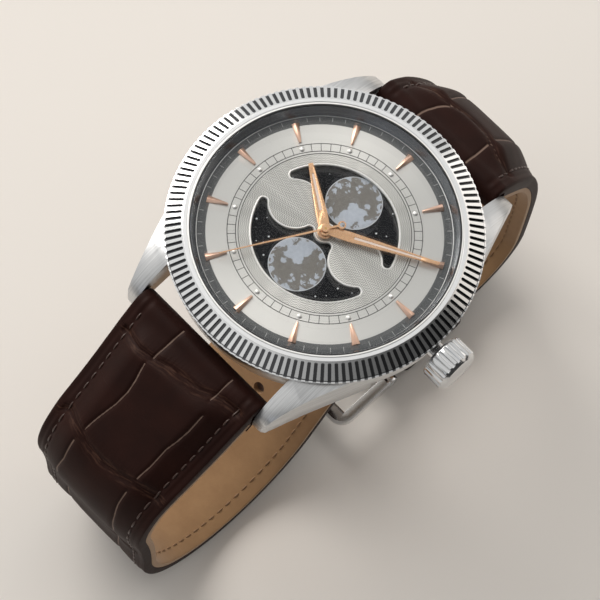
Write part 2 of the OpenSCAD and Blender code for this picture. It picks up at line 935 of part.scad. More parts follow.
module stator() {
    u = motor_u + 0.8;
    v = motor_v - 0.8;
    color(steel)
        on_motor()
            translate([0, 0, stator_z])
                linear_extrude(stator_t)
                    difference() {
                        polygon([
                            [-u, v], [-u + 1.5, v], [-u + 1.5, -1.2], [-1.4, -1.5], [1.4, -1.5], [u - 1.5, -1.2],
                            [u - 1.5, v], [u, v], [u, 0.9], [1.4, 1.5], [-1.4, 1.5], [-u, 0.9]
                        ]);
                        circle(r = 0.95, $fn = 40);
                        for (x = [-1.22, 1.22])
                            translate([x, 0])
                                circle(r = 0.14, $fn = 24);
                    }
}

module coil() {
    r = 1.02;
    l = 2 * (motor_u + 0.8) - 3.1;
    core_z = stator_z + stator_t;
    color([0.70, 0.38, 0.20])
        on_motor()
            translate([0, motor_v, 0])
                difference() {
                    union() {
                        translate([0, 0, core_z + 0.15]) {
                            rod_x(r - 0.06, -l / 2, l);
                            rod_x(r, -l / 2, 0.25);
                            rod_x(r, l / 2 - 0.25, 0.25);
                        }
                        translate([-motor_u - 0.8, -0.7, core_z])
                            cube([2 * motor_u + 1.6, 1.4, 0.35]);
                    }
                    for (x = [-motor_u, motor_u])
                        translate([x, 0, 0])
                            disc(0.25, 0, 5);
                }
}

module circuit_board() {
    color([0.10, 0.30, 0.16])
        difference() {
            translate([0, 0, 3.95])
                linear_extrude(0.2)
                    intersection() {
                        circle(r = movement_r - 0.6, $fn = 96);
                        polygon([[-2, 5.4], [3.2, 8.4], [7, 5.8], [12.6, 4.5], [12.6, 12.6], [-9.8, 12.6], [-6.4, 6.2]]);
                    }
            for (p = bridge_screw_at)
                translate([p[0], p[1], 0])
                    disc(1.3, 0, 6);
        }
}

module battery() {
    color(steel)
        translate([battery_at[0], battery_at[1], 0]) {
            disc(battery_r, battery_low, battery_t);
            disc(battery_r - 0.9, plate_z - 0.6, 0.25);
        }
}

module battery_clamp() {
    color(brass)
        difference() {
            union() {
                translate([battery_at[0] - 0.6, clamp_screw_at[1] - 1, clamp_z])
                    cube([1.2, battery_r + 3.6, 0.15]);
                translate([battery_at[0] - 1, clamp_screw_at[1] - 1, clamp_z])
                    cube([2, 2, plate_z - clamp_z]);
            }
            translate([clamp_screw_at[0], clamp_screw_at[1], 0])
                disc(0.46, 0, plate_z + 1);
        }
}

module movement_ring() {
    color([0.86, 0.86, 0.84])
        difference() {
            tube(case_bore - 0.1, movement_r + 0.1, back_t + 0.9, dial_under - back_t - 0.9);
            translate([0, 0, stem_z])
                rod_x(1.3, 10, 10);
            for (a = [20, 200])
                rotate([0, 0, a])
                    translate([feet_r, 0, 0])
                        disc(0.5, dial_under - 1.4, 3);
        }
}

// Crown and stem

module crown() {
    color(steel)
        translate([0, 0, stem_z])
            difference() {
                rotate([0, 90, 0])
                    turned([
                        [cavity_r, crown_x], [crown_r - 0.45, crown_x], [crown_r - 0.12, crown_x + 0.22],
                        [crown_r, crown_x + 0.45], [crown_r, crown_x + crown_len - 0.7],
                        [crown_r - 0.35, crown_x + crown_len - 0.15], [crown_r - 0.8, crown_x + crown_len],
                        [0, crown_x + crown_len + 0.1], [0, crown_x + 2.2], [cavity_r, crown_x + 2.2]
                    ]);
                for (i = [0:crown_flutes - 1])
                    rotate([(i + 0.5) * 360 / crown_flutes, 0, 0])
                        translate([0, crown_r + 0.12, 0])
                            rod_x(0.3, crown_x + 0.35, crown_len - 0.9);
                rod_x(stem_r, crown_x, 2.9);
            }
}

module crown_gasket() {
    color(black)
        translate([0, 0, stem_z])
            difference() {
                rod_x(cavity_r, crown_x + 0.2, 0.6);
                rod_x(tube_r + run, crown_x, 1);
            }
}

module winding_stem() {
    color(steel)
        translate([0, 0, stem_z])
            difference() {
                union() {
                    rod_x(stem_r, 10.3, crown_x + 2.9 - 10.3);
                    translate([6.6, -square_r, -square_r])
                        cube([4, 2 * square_r, 2 * square_r]);
                    rod_x(0.28, 5.6, 1.2);
                }
                difference() {
                    rod_x(stem_r + 1, lever_x - 0.06, lever_t + 0.12);
                    rod_x(stem_r - 0.15, lever_x - 1, lever_t + 2);
                }
            }
}

// The clutch pinion slides on the stem's square and turns with it
module sliding_pinion() {
    s = square_r + 0.04;
    color(steel)
        translate([0, 0, stem_z])
            difference() {
                rotate([0, 90, 0])
                    union() {
                        gear(14, 0.15, pinion_x, 0.45, 0);
                        disc(neck_r, pinion_x, 1.5);
                        gear(14, 0.15, pinion_x + 1.15, 0.35, 0);
                    }
                translate([pinion_x - 1, -s, -s])
                    cube([4, 2 * s, 2 * s]);
            }
}

// The yoke's fork stands in the clutch pinion's neck
module yoke() {
    x = pinion_x + 0.5;
    z = stem_z - neck_r - 0.1 - 0.35;
    color(steel)
        difference() {
            union() {
                translate([0, 0, z])
                    linear_extrude(0.35)
                        polygon([
                            [x, -1.5], [x + 0.5, -1.5], [x + 0.6, -0.9], [x + 0.6, 3.6],
                            [x - 0.4, 4.4], [x - 0.8, 3.6], [x, 2]
                        ]);
                for (y = [-1.5, 0.88])
                    translate([x + 0.02, y, z])
                        cube([0.5, 0.62, stem_z - z + 0.25]);
            }
            translate([x - 0.2, 3.6, 0])
                disc(0.2, 0, 6);
        }
}

// The lever's pin stands in the stem's groove
module setting_lever() {
    x = lever_x;
    color(steel)
        translate([0, 0, plate_z - 0.65])
            difference() {
                union() {
                    linear_extrude(0.3)
                        polygon([
                            [x - 0.2, -0.1], [x + 0.6, -0.1], [x + 0.7, 1.2], [x + 0.2, 3.4], [x - 0.7, 3.2], [x - 0.3, 1.2]
                        ]);
                    translate([x, stem_r - 0.12, 0])
                        cube([lever_t, 0.3, stem_z - plate_z + 0.8]);
                }
                translate([x - 0.1, 2.7, -1])
                    cylinder(r = 0.2, h = 3, $fn = 24);
            }
}

// Strap

// Side outline of a layer: inner and outer distance from the route at each station
function layer(start, legs, a, b, in, pad) = concat(
    [for (s = stations(a, b)) beside(walk(start, legs, s), outer(s, pad))],
    [for (i = [len(stations(a, b)) - 1:-1:0]) beside(walk(start, legs, stations(a, b)[i]), in)]
);
// The leather swells from its loop round the bar to its full thickness
function outer(s, pad) =
    let (full = leather_t + root_extra(s) + pad * pad_extra(s))
    loop_r + (full - loop_r) * ease((s + 0.5) / 5);

module across(points, w) {
    translate([-w / 2, 0, 0])
        rotate([90, 0, 90])
            linear_extrude(w)
                polygon(points);
}

// Front outline of the strap, which narrows below the lugs
module width_limit(less) {
    a = strap_w / 2 - less;
    b = strap_w_end / 2 - less;
    side = [
        for (c = [[0, -1], [0, 0], [0.3, 0.25], [0.85, 0.625], [1, 1], [1, 4]])
            [a + (b - a) * c[0], taper_top - taper_drop * c[1]]
    ];
    rotate([90, 0, 0])
        linear_extrude(6 * bar_y, center = true)
            polygon(concat(side, [for (i = [len(side) - 1:-1:0]) [-side[i][0], side[i][1]]]));
}

module leather(start, legs, b) {
    intersection() {
        across(layer(start, legs, 0, b, 0, 0), strap_w);
        width_limit(0);
    }
    for (k = [1, 2])
        intersection() {
            across(layer(start, legs, 0, pad_len, 0.5, k / 2), strap_w);
            width_limit(edge_w + (k - 1) * 1.5);
        }
    translate([0, bar_y, bar_z])
        rod_x(loop_r, -strap_w / 2, strap_w);
}

module lining(start, legs, b) {
    intersection() {
        across(
            concat(
                [for (s = stations(0, b)) beside(walk(start, legs, s), -glue)],
                [for (i = [len(stations(0, b)) - 1:-1:0]) beside(walk(start, legs, stations(0, b)[i]), -lining_t)]
            ),
            strap_w
        );
        width_limit(0);
    }
}

module bar_bore() {
    translate([0, bar_y, bar_z])
        rod_x(bar_r + run, -strap_w, 2 * strap_w);
}

// The leather folds back round the buckle's bar, with a slot for the tongue
module pin_wrap(r) {
    translate([0, pin_at[0], pin_at[1]])
        rod_x(r, -strap_w_end / 2, strap_w_end);
}

module tongue_slot() {
    w = tongue_w + 1.3;
    translate([-w / 2, pin_at[0] - 3, pin_at[1] - 3 * keeper_room])
        cube([w, 3 + 2 * (pin_r + 0.85), 6 * keeper_room]);
}

module strap_12_leather() {
    color(brown)
        difference() {
            union() {
                leather(start_12, route_12, len_12);
                pin_wrap(pin_r + 0.75);
            }
            bar_bore();
            pin_wrap(pin_r + run);
            tongue_slot();
        }
}

module strap_12_lining() {
    color(tan)
        difference() {
            lining(start_12, route_12, len_12 - 0.4);
            translate([0, bar_y, bar_z])
                rod_x(loop_r + 0.02, -strap_w, 2 * strap_w);
            pin_wrap(pin_r + 0.8);
            tongue_slot();
        }
}

// Cuts the tail to a rounded point
module tail_point(start, legs, total) {
    p = walk(start, legs, total);
    w = strap_w_end / 2;
    translate([0, p[0], p[1]])
        rotate([p[2], 0, 0])
            translate([0, 0, -5])
                linear_extrude(10)
                    difference() {
                        translate([-w - 2, -8])
                            square([2 * w + 4, 12]);
                        polygon(concat(
                            [[-w, -9], [w, -9]],
                            [for (a = [0:15:180]) [w * cos(a), -8 + 8 * pow(sin(a), 0.75)]]
                        ));
                    }
}

module tail_holes(start, legs, total) {
    for (i = [0:hole_count - 1]) {
        p = walk(start, legs, total - 14 - i * hole_pitch);
        translate([0, p[0], p[1]])
            rotate([p[2], 0, 0])
                translate([0, 0, -5])
                    cylinder(r = hole_r, h = 10, $fn = 32);
    }
}

module strap_6_leather() {
    color(brown)
        mirror([0, 1, 0])
            difference() {
                leather(start_6, route_6, len_6);
                bar_bore();
                tail_point(start_6, route_6, len_6);
                tail_holes(start_6, route_6, len_6);
            }
}

module strap_6_lining() {
    color(tan)
        mirror([0, 1, 0])
            difference() {
                lining(start_6, route_6, len_6);
                translate([0, bar_y, bar_z])
                    rod_x(loop_r + 0.02, -strap_w, 2 * strap_w);
                tail_point(start_6, route_6, len_6);
                tail_holes(start_6, route_6, len_6);
            }
}

// A leather loop round the strap, open enough for the tail as well
module keeper(y, slack) {
    w = strap_w_end / 2 + 0.15 + slack;
    top = bottom_z + lining_t + 0.05 + slack;
    translate([0, y + keeper_w / 2, 0])
        rotate([90, 0, 0])
            linear_extrude(keeper_w)
                difference() {
                    translate([-w - keeper_t, top - keeper_room - keeper_t])
                        square([2 * (w + keeper_t), keeper_room + 2 * keeper_t]);
                    translate([-w, top - keeper_room])
                        square([2 * w, keeper_room]);
                }
}

module fixed_keeper() {
    color(brown)
        keeper(fixed_keeper_y, 0);
}

module sliding_keeper() {
    color(brown)
        keeper(sliding_keeper_y, 0.1);
}

// Buckle

module buckle_bar() {
    color(steel)
        translate([0, pin_at[0], pin_at[1]]) {
            rod_x(pin_r, -strap_w_end / 2 + 0.2, strap_w_end - 0.4);
            rod_x(pin_tip_r, -strap_w_end / 2 - 1.2, strap_w_end + 2.4);
        }
}

module buckle_frame() {
    w = strap_w_end / 2 + 0.35;
    arm = 1.5;
    r = 2.2;
    color(steel)
        difference() {
            union() {
                translate([0, pin_at[0], pin_at[1] - frame_t / 2])
                    linear_extrude(frame_t)
                        difference() {
                            polygon(concat(
                                [[w + arm, 0], [-w - arm, 0]],
                                [for (a = [180:15:270]) [-w - arm + r + r * cos(a), -frame_len + r + r * sin(a)]],
                                [for (a = [270:15:360]) [w + arm - r + r * cos(a), -frame_len + r + r * sin(a)]]
                            ));
                            translate([-w, -frame_len + 1.9])
                                square([2 * w, frame_len]);
                        }
                for (x = [-w - arm, w])
                    translate([0, pin_at[0], pin_at[1]])
                        rod_x(1.1, x, arm);
            }
            translate([0, pin_at[0], pin_at[1]])
                rod_x(pin_tip_r + run, -strap_w, 2 * strap_w);
        }
}

module buckle_tongue() {
    ring_r = pin_r + 0.62;
    low = pin_at[1] - frame_t / 2 - 0.05;
    color(steel)
        difference() {
            union() {
                translate([0, pin_at[0], pin_at[1]])
                    rod_x(ring_r, -tongue_w / 2 - 0.2, tongue_w + 0.4);
                translate([-tongue_w / 2, 0, 0])
                    rotate([90, 0, 90])
                        linear_extrude(tongue_w)
                            polygon([
                                [pin_at[0], pin_at[1] - ring_r + 0.05], [front_y + 2, low - 0.75], [front_y - 0.2, low - 0.7],
                                [front_y - 0.5, low - 0.35], [front_y - 0.2, low], [front_y + 2.4, low],
                                [pin_at[0] - 1.1, pin_at[1] - 0.2]
                            ]);
            }
            translate([0, pin_at[0], pin_at[1]])
                rod_x(pin_r + run, -3, 6);
        }
}

mid_case();
bezel();
crystal();
crystal_gasket();
rehaut();
dial_plate();
minute_ring();
centre_plate();
hour_markers();
track_pearls();
movement_ring();
mainplate();
motion_cover();
train_bridge();
bridge_screws();
battery();
battery_clamp();
coil();
stator();
circuit_board();
crown_tube();
case_back();
back_gasket();
spring_bar_12();
spring_bar_6();
hour_wheel();
hour_hand();
cannon_pinion();
centre_wheel();
minute_hand();
seconds_wheel();
second_hand();
third_wheel();
minute_wheel();
setting_wheel();
day_wheel();
moon_disc();
intermediate_wheel();
rotor();
setting_lever();
crown();
crown_gasket();
winding_stem();
yoke();
sliding_pinion();
strap_12_leather();
strap_12_lining();
fixed_keeper();
buckle_bar();
sliding_keeper();
buckle_frame();
buckle_tongue();
strap_6_leather();
strap_6_lining();
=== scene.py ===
import json
import math
import random
from functools import partial

import bmesh
import bpy
import numpy as np
from mathutils import Matrix, Vector, noise


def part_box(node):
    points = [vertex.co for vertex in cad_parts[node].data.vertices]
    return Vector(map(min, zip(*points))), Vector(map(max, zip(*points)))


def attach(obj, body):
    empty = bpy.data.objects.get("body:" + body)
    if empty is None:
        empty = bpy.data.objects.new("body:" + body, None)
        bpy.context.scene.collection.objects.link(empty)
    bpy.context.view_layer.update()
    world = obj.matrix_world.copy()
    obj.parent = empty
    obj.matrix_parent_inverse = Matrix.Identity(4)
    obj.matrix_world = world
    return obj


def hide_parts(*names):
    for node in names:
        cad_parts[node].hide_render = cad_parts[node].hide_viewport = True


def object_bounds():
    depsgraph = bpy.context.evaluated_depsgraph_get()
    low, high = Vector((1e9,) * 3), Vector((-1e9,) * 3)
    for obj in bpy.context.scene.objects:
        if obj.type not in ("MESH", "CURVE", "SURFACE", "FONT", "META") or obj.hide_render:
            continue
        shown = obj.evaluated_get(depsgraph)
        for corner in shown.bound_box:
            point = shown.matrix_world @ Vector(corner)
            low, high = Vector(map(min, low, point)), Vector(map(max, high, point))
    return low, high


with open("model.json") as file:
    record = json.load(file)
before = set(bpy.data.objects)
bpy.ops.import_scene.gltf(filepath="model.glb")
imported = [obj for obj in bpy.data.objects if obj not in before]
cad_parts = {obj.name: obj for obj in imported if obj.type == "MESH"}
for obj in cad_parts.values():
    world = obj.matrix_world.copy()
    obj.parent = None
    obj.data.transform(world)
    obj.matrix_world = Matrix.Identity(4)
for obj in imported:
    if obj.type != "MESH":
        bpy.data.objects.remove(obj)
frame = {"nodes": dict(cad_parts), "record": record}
cadLow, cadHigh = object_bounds()
mm = 0.001
bodyOf = {node: body for body, nodes in frame["record"]["behaviour"]["bodies"].items() for node in nodes}
print("frame loaded:", len(frame["nodes"]), "nodes")


# sRGB hex to linear
def linearColour(hexText):
    out = []
    for i in (1, 3, 5):
        c = int(hexText[i:i + 2], 16) / 255
        out.append(c / 12.92 if c <= 0.04045 else ((c + 0.055) / 1.055) ** 2.4)
    return (*out, 1.0)


def firstOutput(node):
    return next(output for output in node.outputs if output.enabled)


# adds one shader node: links holds its input sockets with a value, an output or a node, and feeds names the socket of
# the tree's main shader that the new node drives
def addNode(tree, main, kind, links=None, feeds=None, **settings):
    node = tree.nodes.new("ShaderNode" + kind)
    for key, value in settings.items():
        setattr(node, key, value)
    for socket, value in (links or {}).items():
        target = node.inputs[socket]
        if isinstance(value, bpy.types.Node):
            value = firstOutput(value)
        if isinstance(value, bpy.types.NodeSocket):
            tree.links.new(value, target)
        else:
            target.default_value = linearColour(value) if isinstance(value, str) else value
    if feeds:
        tree.links.new(firstOutput(node), main.inputs[feeds])
    return node


# a new material, with its way to add nodes and the place on the piece
def newMaterial(name, **values):
    material = bpy.data.materials.new(name)
    material.use_nodes = True
    tree = material.node_tree
    shader = tree.nodes["Principled BSDF"]
    sockets = {"colour": "Base Color", "metallic": "Metallic", "roughness": "Roughness", "ior": "IOR",
               "alpha": "Alpha", "coat": "Coat Weight", "coatRoughness": "Coat Roughness", "sheen": "Sheen Weight",
               "anisotropic": "Anisotropic", "transmission": "Transmission Weight", "specular": "Specular IOR Level"}
    for key, value in values.items():
        shader.inputs[sockets[key]].default_value = linearColour(value) if isinstance(value, str) else value
    add = partial(addNode, tree, shader)
    return material, add, add("TexCoord").outputs["Object"]


# soft step from 0 to 1
def ease(t):
    t = np.clip(t, 0, 1)
    return t * t * (3 - 2 * t)


def addObject(name, data):
    obj = bpy.data.objects.new(name, data)
    bpy.context.scene.collection.objects.link(obj)
    return obj


# puts the modified shape in place of the mesh
def applyModifiers(obj):
    made = bpy.data.meshes.new_from_object(obj.evaluated_get(bpy.context.evaluated_depsgraph_get()))
    obj.modifiers.clear()
    obj.data = made
    return made


# one visible piece from points in mm, which rides on a body of the frame
def makePiece(name, points, faces, material, body, slotName=None, sharp=35):
    mesh = bpy.data.meshes.new(name)
    mesh.from_pydata([(x * mm, y * mm, z * mm) for x, y, z in points], [], faces)
    bm = bmesh.new()
    bm.from_mesh(mesh)
    bmesh.ops.recalc_face_normals(bm, faces=bm.faces)
    if bm.calc_volume(signed=True) < 0:
        bmesh.ops.reverse_faces(bm, faces=bm.faces)
    bm.to_mesh(mesh)
    bm.free()
    obj = addObject(name, mesh)
    mesh.materials.append(material)
    mesh.shade_smooth()
    mesh.set_sharp_from_angle(angle=math.radians(sharp))
    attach(obj, body)
    return obj


def joinShapes(shapes):
    points, faces = [], []
    for p, f in shapes:
        n = len(points)
        points += list(p)
        faces += [tuple(i + n for i in face) for face in f]
    return points, faces


# faces round a row of rings with the same number of points
def tubeFaces(rings, count, closed=False):
    faces = []
    for i in range(rings if closed else rings - 1):
        a, b = i * count, (i + 1) % rings * count
        for j in range(count):
            k = (j + 1) % count
            faces.append((a + j, a + k, b + k, b + j))
    if not closed:
        faces.append(tuple(range(count))[::-1])
        faces.append(tuple((rings - 1) * count + j for j in range(count)))
    return faces


def dress(material, *nodes):
    for node in nodes:
        for slot in frame["nodes"][node].material_slots:
            slot.material = material


# a copy of a CAD piece with its sharp edges broken, as tumbling and polishing leave them
def softEdges(node, width, material, angle=30, segments=2):
    source = frame["nodes"][node]
    mesh = source.data.copy()
    for extra in ("custom_normal", "sharp_face", "sharp_edge"):
        if extra in mesh.attributes:
            mesh.attributes.remove(mesh.attributes[extra])
    bm = bmesh.new()
    bm.from_mesh(mesh)
    bmesh.ops.remove_doubles(bm, verts=bm.verts, dist=2e-6)
    bmesh.ops.dissolve_limit(bm, angle_limit=math.radians(0.5), verts=bm.verts, edges=bm.edges)
    bm.to_mesh(mesh)
    bm.free()
    obj = addObject(node + "Finished", mesh)
    mesh.materials.clear()
    mesh.materials.append(material)
    bevel = obj.modifiers.new("edges", "BEVEL")
    bevel.width = width * mm
    bevel.segments = segments
    bevel.limit_method = "ANGLE"
    bevel.angle_limit = math.radians(angle)
    bevel.miter_outer = "MITER_ARC"
    made = applyModifiers(obj)
    made.shade_smooth()
    made.set_sharp_from_angle(angle=math.radians(32))
    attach(obj, bodyOf[node])
    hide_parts(node)
    return obj


# the parts of a place, the same place flattened, and its distance from the Z axis
def fromAxis(add, place):
    parts = add("SeparateXYZ", {"Vector": place})
    flat = add("CombineXYZ", {"X": parts.outputs["X"], "Y": parts.outputs["Y"]})
    return parts, flat, add("VectorMath", {0: flat}, operation="LENGTH")


# fine scratches that run round the Z axis, or along one direction
def brushing(add, place, spacing, stretch, around=False):
    if around:
        turned, _, far = fromAxis(add, place)
        angle = add("Math", {0: turned.outputs["Y"], 1: turned.outputs["X"]}, operation="ARCTAN2")
        along = add("Math", {0: angle, 1: 0.02}, operation="MULTIPLY")
        source = add("CombineXYZ", {"X": far, "Y": along})
    else:
        source = place
    scaled = add("Mapping", {"Vector": source, "Scale": stretch})
    return add("TexNoise", {"Vector": scaled, "Scale": 1 / (spacing * mm), "Detail": 3.0, "Roughness": 0.6})


def steelMaterials():
    made = {}
    # 316L steel, polished: bright and mirror-like, with a faint haze
    material, add, place = newMaterial("polishedSteel316L", colour="#D4D5D6", metallic=1.0, roughness=0.12)
    haze = add("TexNoise", {"Vector": place, "Scale": 1 / (2.5 * mm), "Detail": 4.0})
    add("MapRange", {"Value": haze, "To Min": 0.08, "To Max": 0.2}, feeds="Roughness")
    made["polished"] = material
    # 316L steel, brushed along the lugs: soft grey sheen with straight lines 0.08 mm apart, drawn coarser to show
    material, add, place = newMaterial("brushedSteel316L", colour="#C9CBCD", metallic=1.0, roughness=0.3,
                                       anisotropic=0.5)
    onTop = brushing(add, place, 0.13, (1.0, 0.02, 0.02))
    onSide = brushing(add, place, 0.13, (0.02, 0.02, 1.0))
    up = add("SeparateXYZ", {"Vector": add("NewGeometry").outputs["Normal"]}).outputs["Z"]
    upward = add("MapRange", {"Value": add("Math", {0: up}, operation="ABSOLUTE"), "From Min": 0.3, "From Max": 0.5})
    lines = add("Mix", {"Factor": upward, "A": onSide, "B": onTop}, data_type="FLOAT")
    pick = add("MapRange", {"Value": lines, "From Min": 0.35, "From Max": 0.65})
    add("Mix", {"Factor": pick, "A": "#BFC0C1", "B": "#D8D9DA"}, data_type="RGBA", feeds="Base Color")
    add("MapRange", {"Value": lines, "To Min": 0.24, "To Max": 0.42}, feeds="Roughness")
    add("Bump", {"Height": lines, "Strength": 0.12, "Distance": 0.02 * mm}, feeds="Normal")
    made["brushed"] = material
    return made


steel = steelMaterials()


def bezelMaterial():
    # polished 316L flutes with painted shade in the cuts, and a flat ring brushed round the crystal
    material, add, place = newMaterial("flutedBezelSteel", colour="#E8E9EA", metallic=1.0, roughness=0.16)
    cut = {"flatOut": 18.5, "top": 9.5, "slope": math.tan(math.atan(1.05 / 2.25)), "dark": "#58595B"}
    parts, _, far = fromAxis(add, place)
    fall = add("Math", {0: far, 1: -cut["slope"], 2: (cut["top"] + cut["flatOut"] * cut["slope"]) * mm},
               operation="MULTIPLY_ADD")
    depth = add("Math", {0: fall, 1: parts.outputs["Z"]}, operation="SUBTRACT")
    inCutShade = add("MapRange", {"Value": depth, "From Min": 0.03 * mm, "From Max": 0.3 * mm})
    outer = add("MapRange", {"Value": far, "From Min": 18.55 * mm, "From Max": 18.7 * mm})
    inner = add("MapRange", {"Value": far, "From Min": 20.85 * mm, "From Max": 20.8 * mm})
    # painted shade: the cuts are coloured dark grey where the grooves' shade falls
    dark = add("Math", {0: inCutShade, 1: outer}, operation="MULTIPLY")
    dark = add("Math", {0: dark, 1: inner}, operation="MULTIPLY")
    lines = brushing(add, place, 0.12, (1.0, 0.04, 1.0), around=True)
    brushed = add("MapRange", {"Value": lines, "To Min": 0.22, "To Max": 0.4})
    onFlat = add("MapRange", {"Value": far, "From Min": 18.6 * mm, "From Max": 18.5 * mm})
    add("Mix", {"Factor": onFlat, "A": 0.14, "B": brushed}, data_type="FLOAT", feeds="Roughness")
    add("Mix", {"Factor": dark, "A": "#E8E9EA", "B": cut["dark"]}, data_type="RGBA", feeds="Base Color")
    height = add("Math", {0: lines, 1: onFlat}, operation="MULTIPLY")
    add("Bump", {"Height": height, "Strength": 0.2, "Distance": 0.02 * mm}, feeds="Normal")
    return material


# metal with clouds of slightly different gloss
def plainMetal(name, colour, rough, grain=0.4, spread=0.1, bump=0.1):
    material, add, place = newMaterial(name, colour=colour, metallic=1.0, roughness=rough)
    cloud = add("TexNoise", {"Vector": place, "Scale": 1 / (grain * mm), "Detail": 4.0})
    add("MapRange", {"Value": cloud, "To Min": rough - spread / 2, "To Max": rough + spread}, feeds="Roughness")
    add("Bump", {"Height": cloud, "Strength": bump, "Distance": 0.01 * mm}, feeds="Normal")
    return material


# plastic, paint, ink or thread in two close tones
def plainCoat(name, colour, second, rough, grain=0.5, coat=0.0, specular=0.5):
    material, add, place = newMaterial(name, colour=colour, roughness=rough, coat=coat, coatRoughness=0.08,
                                       specular=specular)
    cloud = add("TexNoise", {"Vector": place, "Scale": 1 / (grain * mm), "Detail": 3.0})
    add("Mix", {"Factor": cloud, "A": colour, "B": second}, data_type="RGBA", feeds="Base Color")
    add("Bump", {"Height": cloud, "Strength": 0.1, "Distance": 0.01 * mm}, feeds="Normal")
    return material


brass = plainMetal("lappedBrass", "#C9A45C", 0.3)  # soft yellow shine
# warm pink gold, nearly a mirror
roseGold = plainMetal("roseGoldPlate", "#DBB08A", 0.26, grain=0.8, spread=0.06, bump=0.04)
# the same plate on a finer base: pinker and softer
markerGold = plainMetal("paleRoseGoldPlate", "#D9B49F", 0.3, grain=0.8, spread=0.05, bump=0.02)
inlay = plainCoat("palePinkInlay", "#EBDDD4", "#E2D2C8", 0.45)  # pale pink, silky
rimSilver = plainMetal("bevelledRimSilver", "#F2F2F0", 0.4, grain=0.8, spread=0.06)  # bright, slightly misty edges
copperWire = plainMetal("enamelledCopperWire", "#B5622F", 0.35, grain=0.1)  # dark orange with a lacquered shine
nickel = plainMetal("nickelPlatedIron", "#B9B8B4", 0.28)  # warm grey, smooth
rubber = plainCoat("nitrileRubber", "#141414", "#1B1B1C", 0.6)  # black and matt
board = plainCoat("solderMaskBoard", "#1C5A33", "#174C2B", 0.4, grain=1.5)  # deep green lacquer
plastic = plainCoat("mouldedAcetal", "#DEDDD8", "#D2D1CC", 0.5)  # off-white, dull
magnet = plainCoat("sinteredMagnet", "#3A3A3C", "#2E2E30", 0.5, grain=0.2)  # dark grey, fine-grained
# dark grey under clear gloss
chapter = plainCoat("anthraciteLacquer", "#4B4E50", "#444749", 0.34, grain=1.2, coat=0.3)
# dark mirror of the dial's edge
flange = plainMetal("greyPlatedFlange", "#8E9298", 0.22, grain=2.0, spread=0.05, bump=0.02)
printInk = plainCoat("darkPadPrint", "#2C2C2B", "#242423", 0.45)  # thin near-black ink
tickInk = plainCoat("palePadPrint", "#B4B6B6", "#A4A6A6", 0.5)  # thin pale grey ink
starInk = plainCoat("silverPadPrint", "#E6E9EC", "#CDD2D6", 0.3)  # white ink with a glint
# dark brown, waxed to a low shine
thread = plainCoat("waxedThread", "#2B1913", "#482E24", 0.45, grain=0.12, coat=0.25)
tanThread = plainCoat("tanThread", "#7E6044", "#947453", 0.6, grain=0.12)  # lighter and dry


# silvered brass: pale and softly bright, brushed out from the centre or turned on an engine
def silveredDial(name, rays):
    material, add, place = newMaterial(name, colour="#CECECB", metallic=0.85, roughness=0.36, anisotropic=0.6)
    add("Tangent", direction_type="RADIAL", axis="Z", feeds="Tangent")
    parts, flat, far = fromAxis(add, place)
    angle = add("Math", {0: parts.outputs["Y"], 1: parts.outputs["X"]}, operation="ARCTAN2")
    if not rays:
        spun = add("CombineXYZ", {"X": angle, "Y": add("Math", {0: far, 1: 6.0}, operation="MULTIPLY")})
        lines = add("TexNoise", {"Vector": spun, "Scale": 110.0, "Detail": 3.0})
        add("Bump", {"Height": lines, "Strength": 0.25, "Distance": 0.03 * mm}, feeds="Normal")
        add("MapRange", {"Value": lines, "To Min": 0.28, "To Max": 0.44}, feeds="Roughness")
        return material
    # engine turning: rings that wave in and out once for each ray, by a share of their radius
    turns = {"rings": 0.25, "rays": 60, "swing": 0.014}
    wave = add("Math", {0: add("Math", {0: angle, 1: float(turns["rays"])}, operation="MULTIPLY")}, operation="SINE")
    swing = add("Math", {0: wave, 1: add("Math", {0: far, 1: turns["swing"]}, operation="MULTIPLY")},
                operation="MULTIPLY")
    moved = add("Math", {0: swing, 1: far}, operation="ADD")
    phase = add("Math", {0: moved, 1: 2 * math.pi / (turns["rings"] * mm)}, operation="MULTIPLY")
    rings = add("Math", {0: phase}, operation="SINE")
    fade = add("MapRange", {"Value": far, "From Min": 11.3 * mm, "From Max": 11.1 * mm})
    height = add("Math", {0: rings, 1: fade}, operation="MULTIPLY")
    add("Bump", {"Height": height, "Strength": 0.15, "Distance": 0.02 * mm}, feeds="Normal")
    # painted shade: the turned grooves are coloured darker, standing in for the shade that falls in them
    groove = add("MapRange", {"Value": height, "From Min": 0.3, "From Max": -0.9})
    tone = add("Mix", {"Factor": groove, "A": "#E4E4E0", "B": "#757572"}, data_type="RGBA")
    # painted light and shade: broad paler and darker beams fan out from the centre over the turned lines
    around = add("VectorMath", {0: flat}, operation="NORMALIZE")
    paintedBeams = add("TexNoise", {"Vector": around, "Scale": 5.0, "Detail": 2.0})
    shade = add("MapRange", {"Value": paintedBeams, "From Min": 0.36, "From Max": 0.62, "To Min": 0.0, "To Max": 0.3})
    add("Mix", {"Factor": shade, "A": tone, "B": "#8E8E8B"}, data_type="RGBA", feeds="Base Color")
    add("MapRange", {"Value": wave, "From Min": -1.0, "From Max": 1.0, "To Min": 0.3, "To Max": 0.44},
        feeds="Roughness")
    return material


def crystalMaterial():
    # flat sapphire with a coating: clear face on, a pale edge where it is seen along
    material, add, _ = newMaterial("coatedSapphire", colour="#FFFFFF", roughness=0.02, ior=1.77, transmission=1.0,
                                   alpha=0.1)
    edge = add("LayerWeight", {"Blend": 0.25})
    add("MapRange", {"Value": edge.outputs["Facing"], "From Min": 0.4, "From Max": 1.0, "To Min": 0.05,
                     "To Max": 0.3}, feeds="Alpha")
    material.surface_render_method = "BLENDED"
    return material


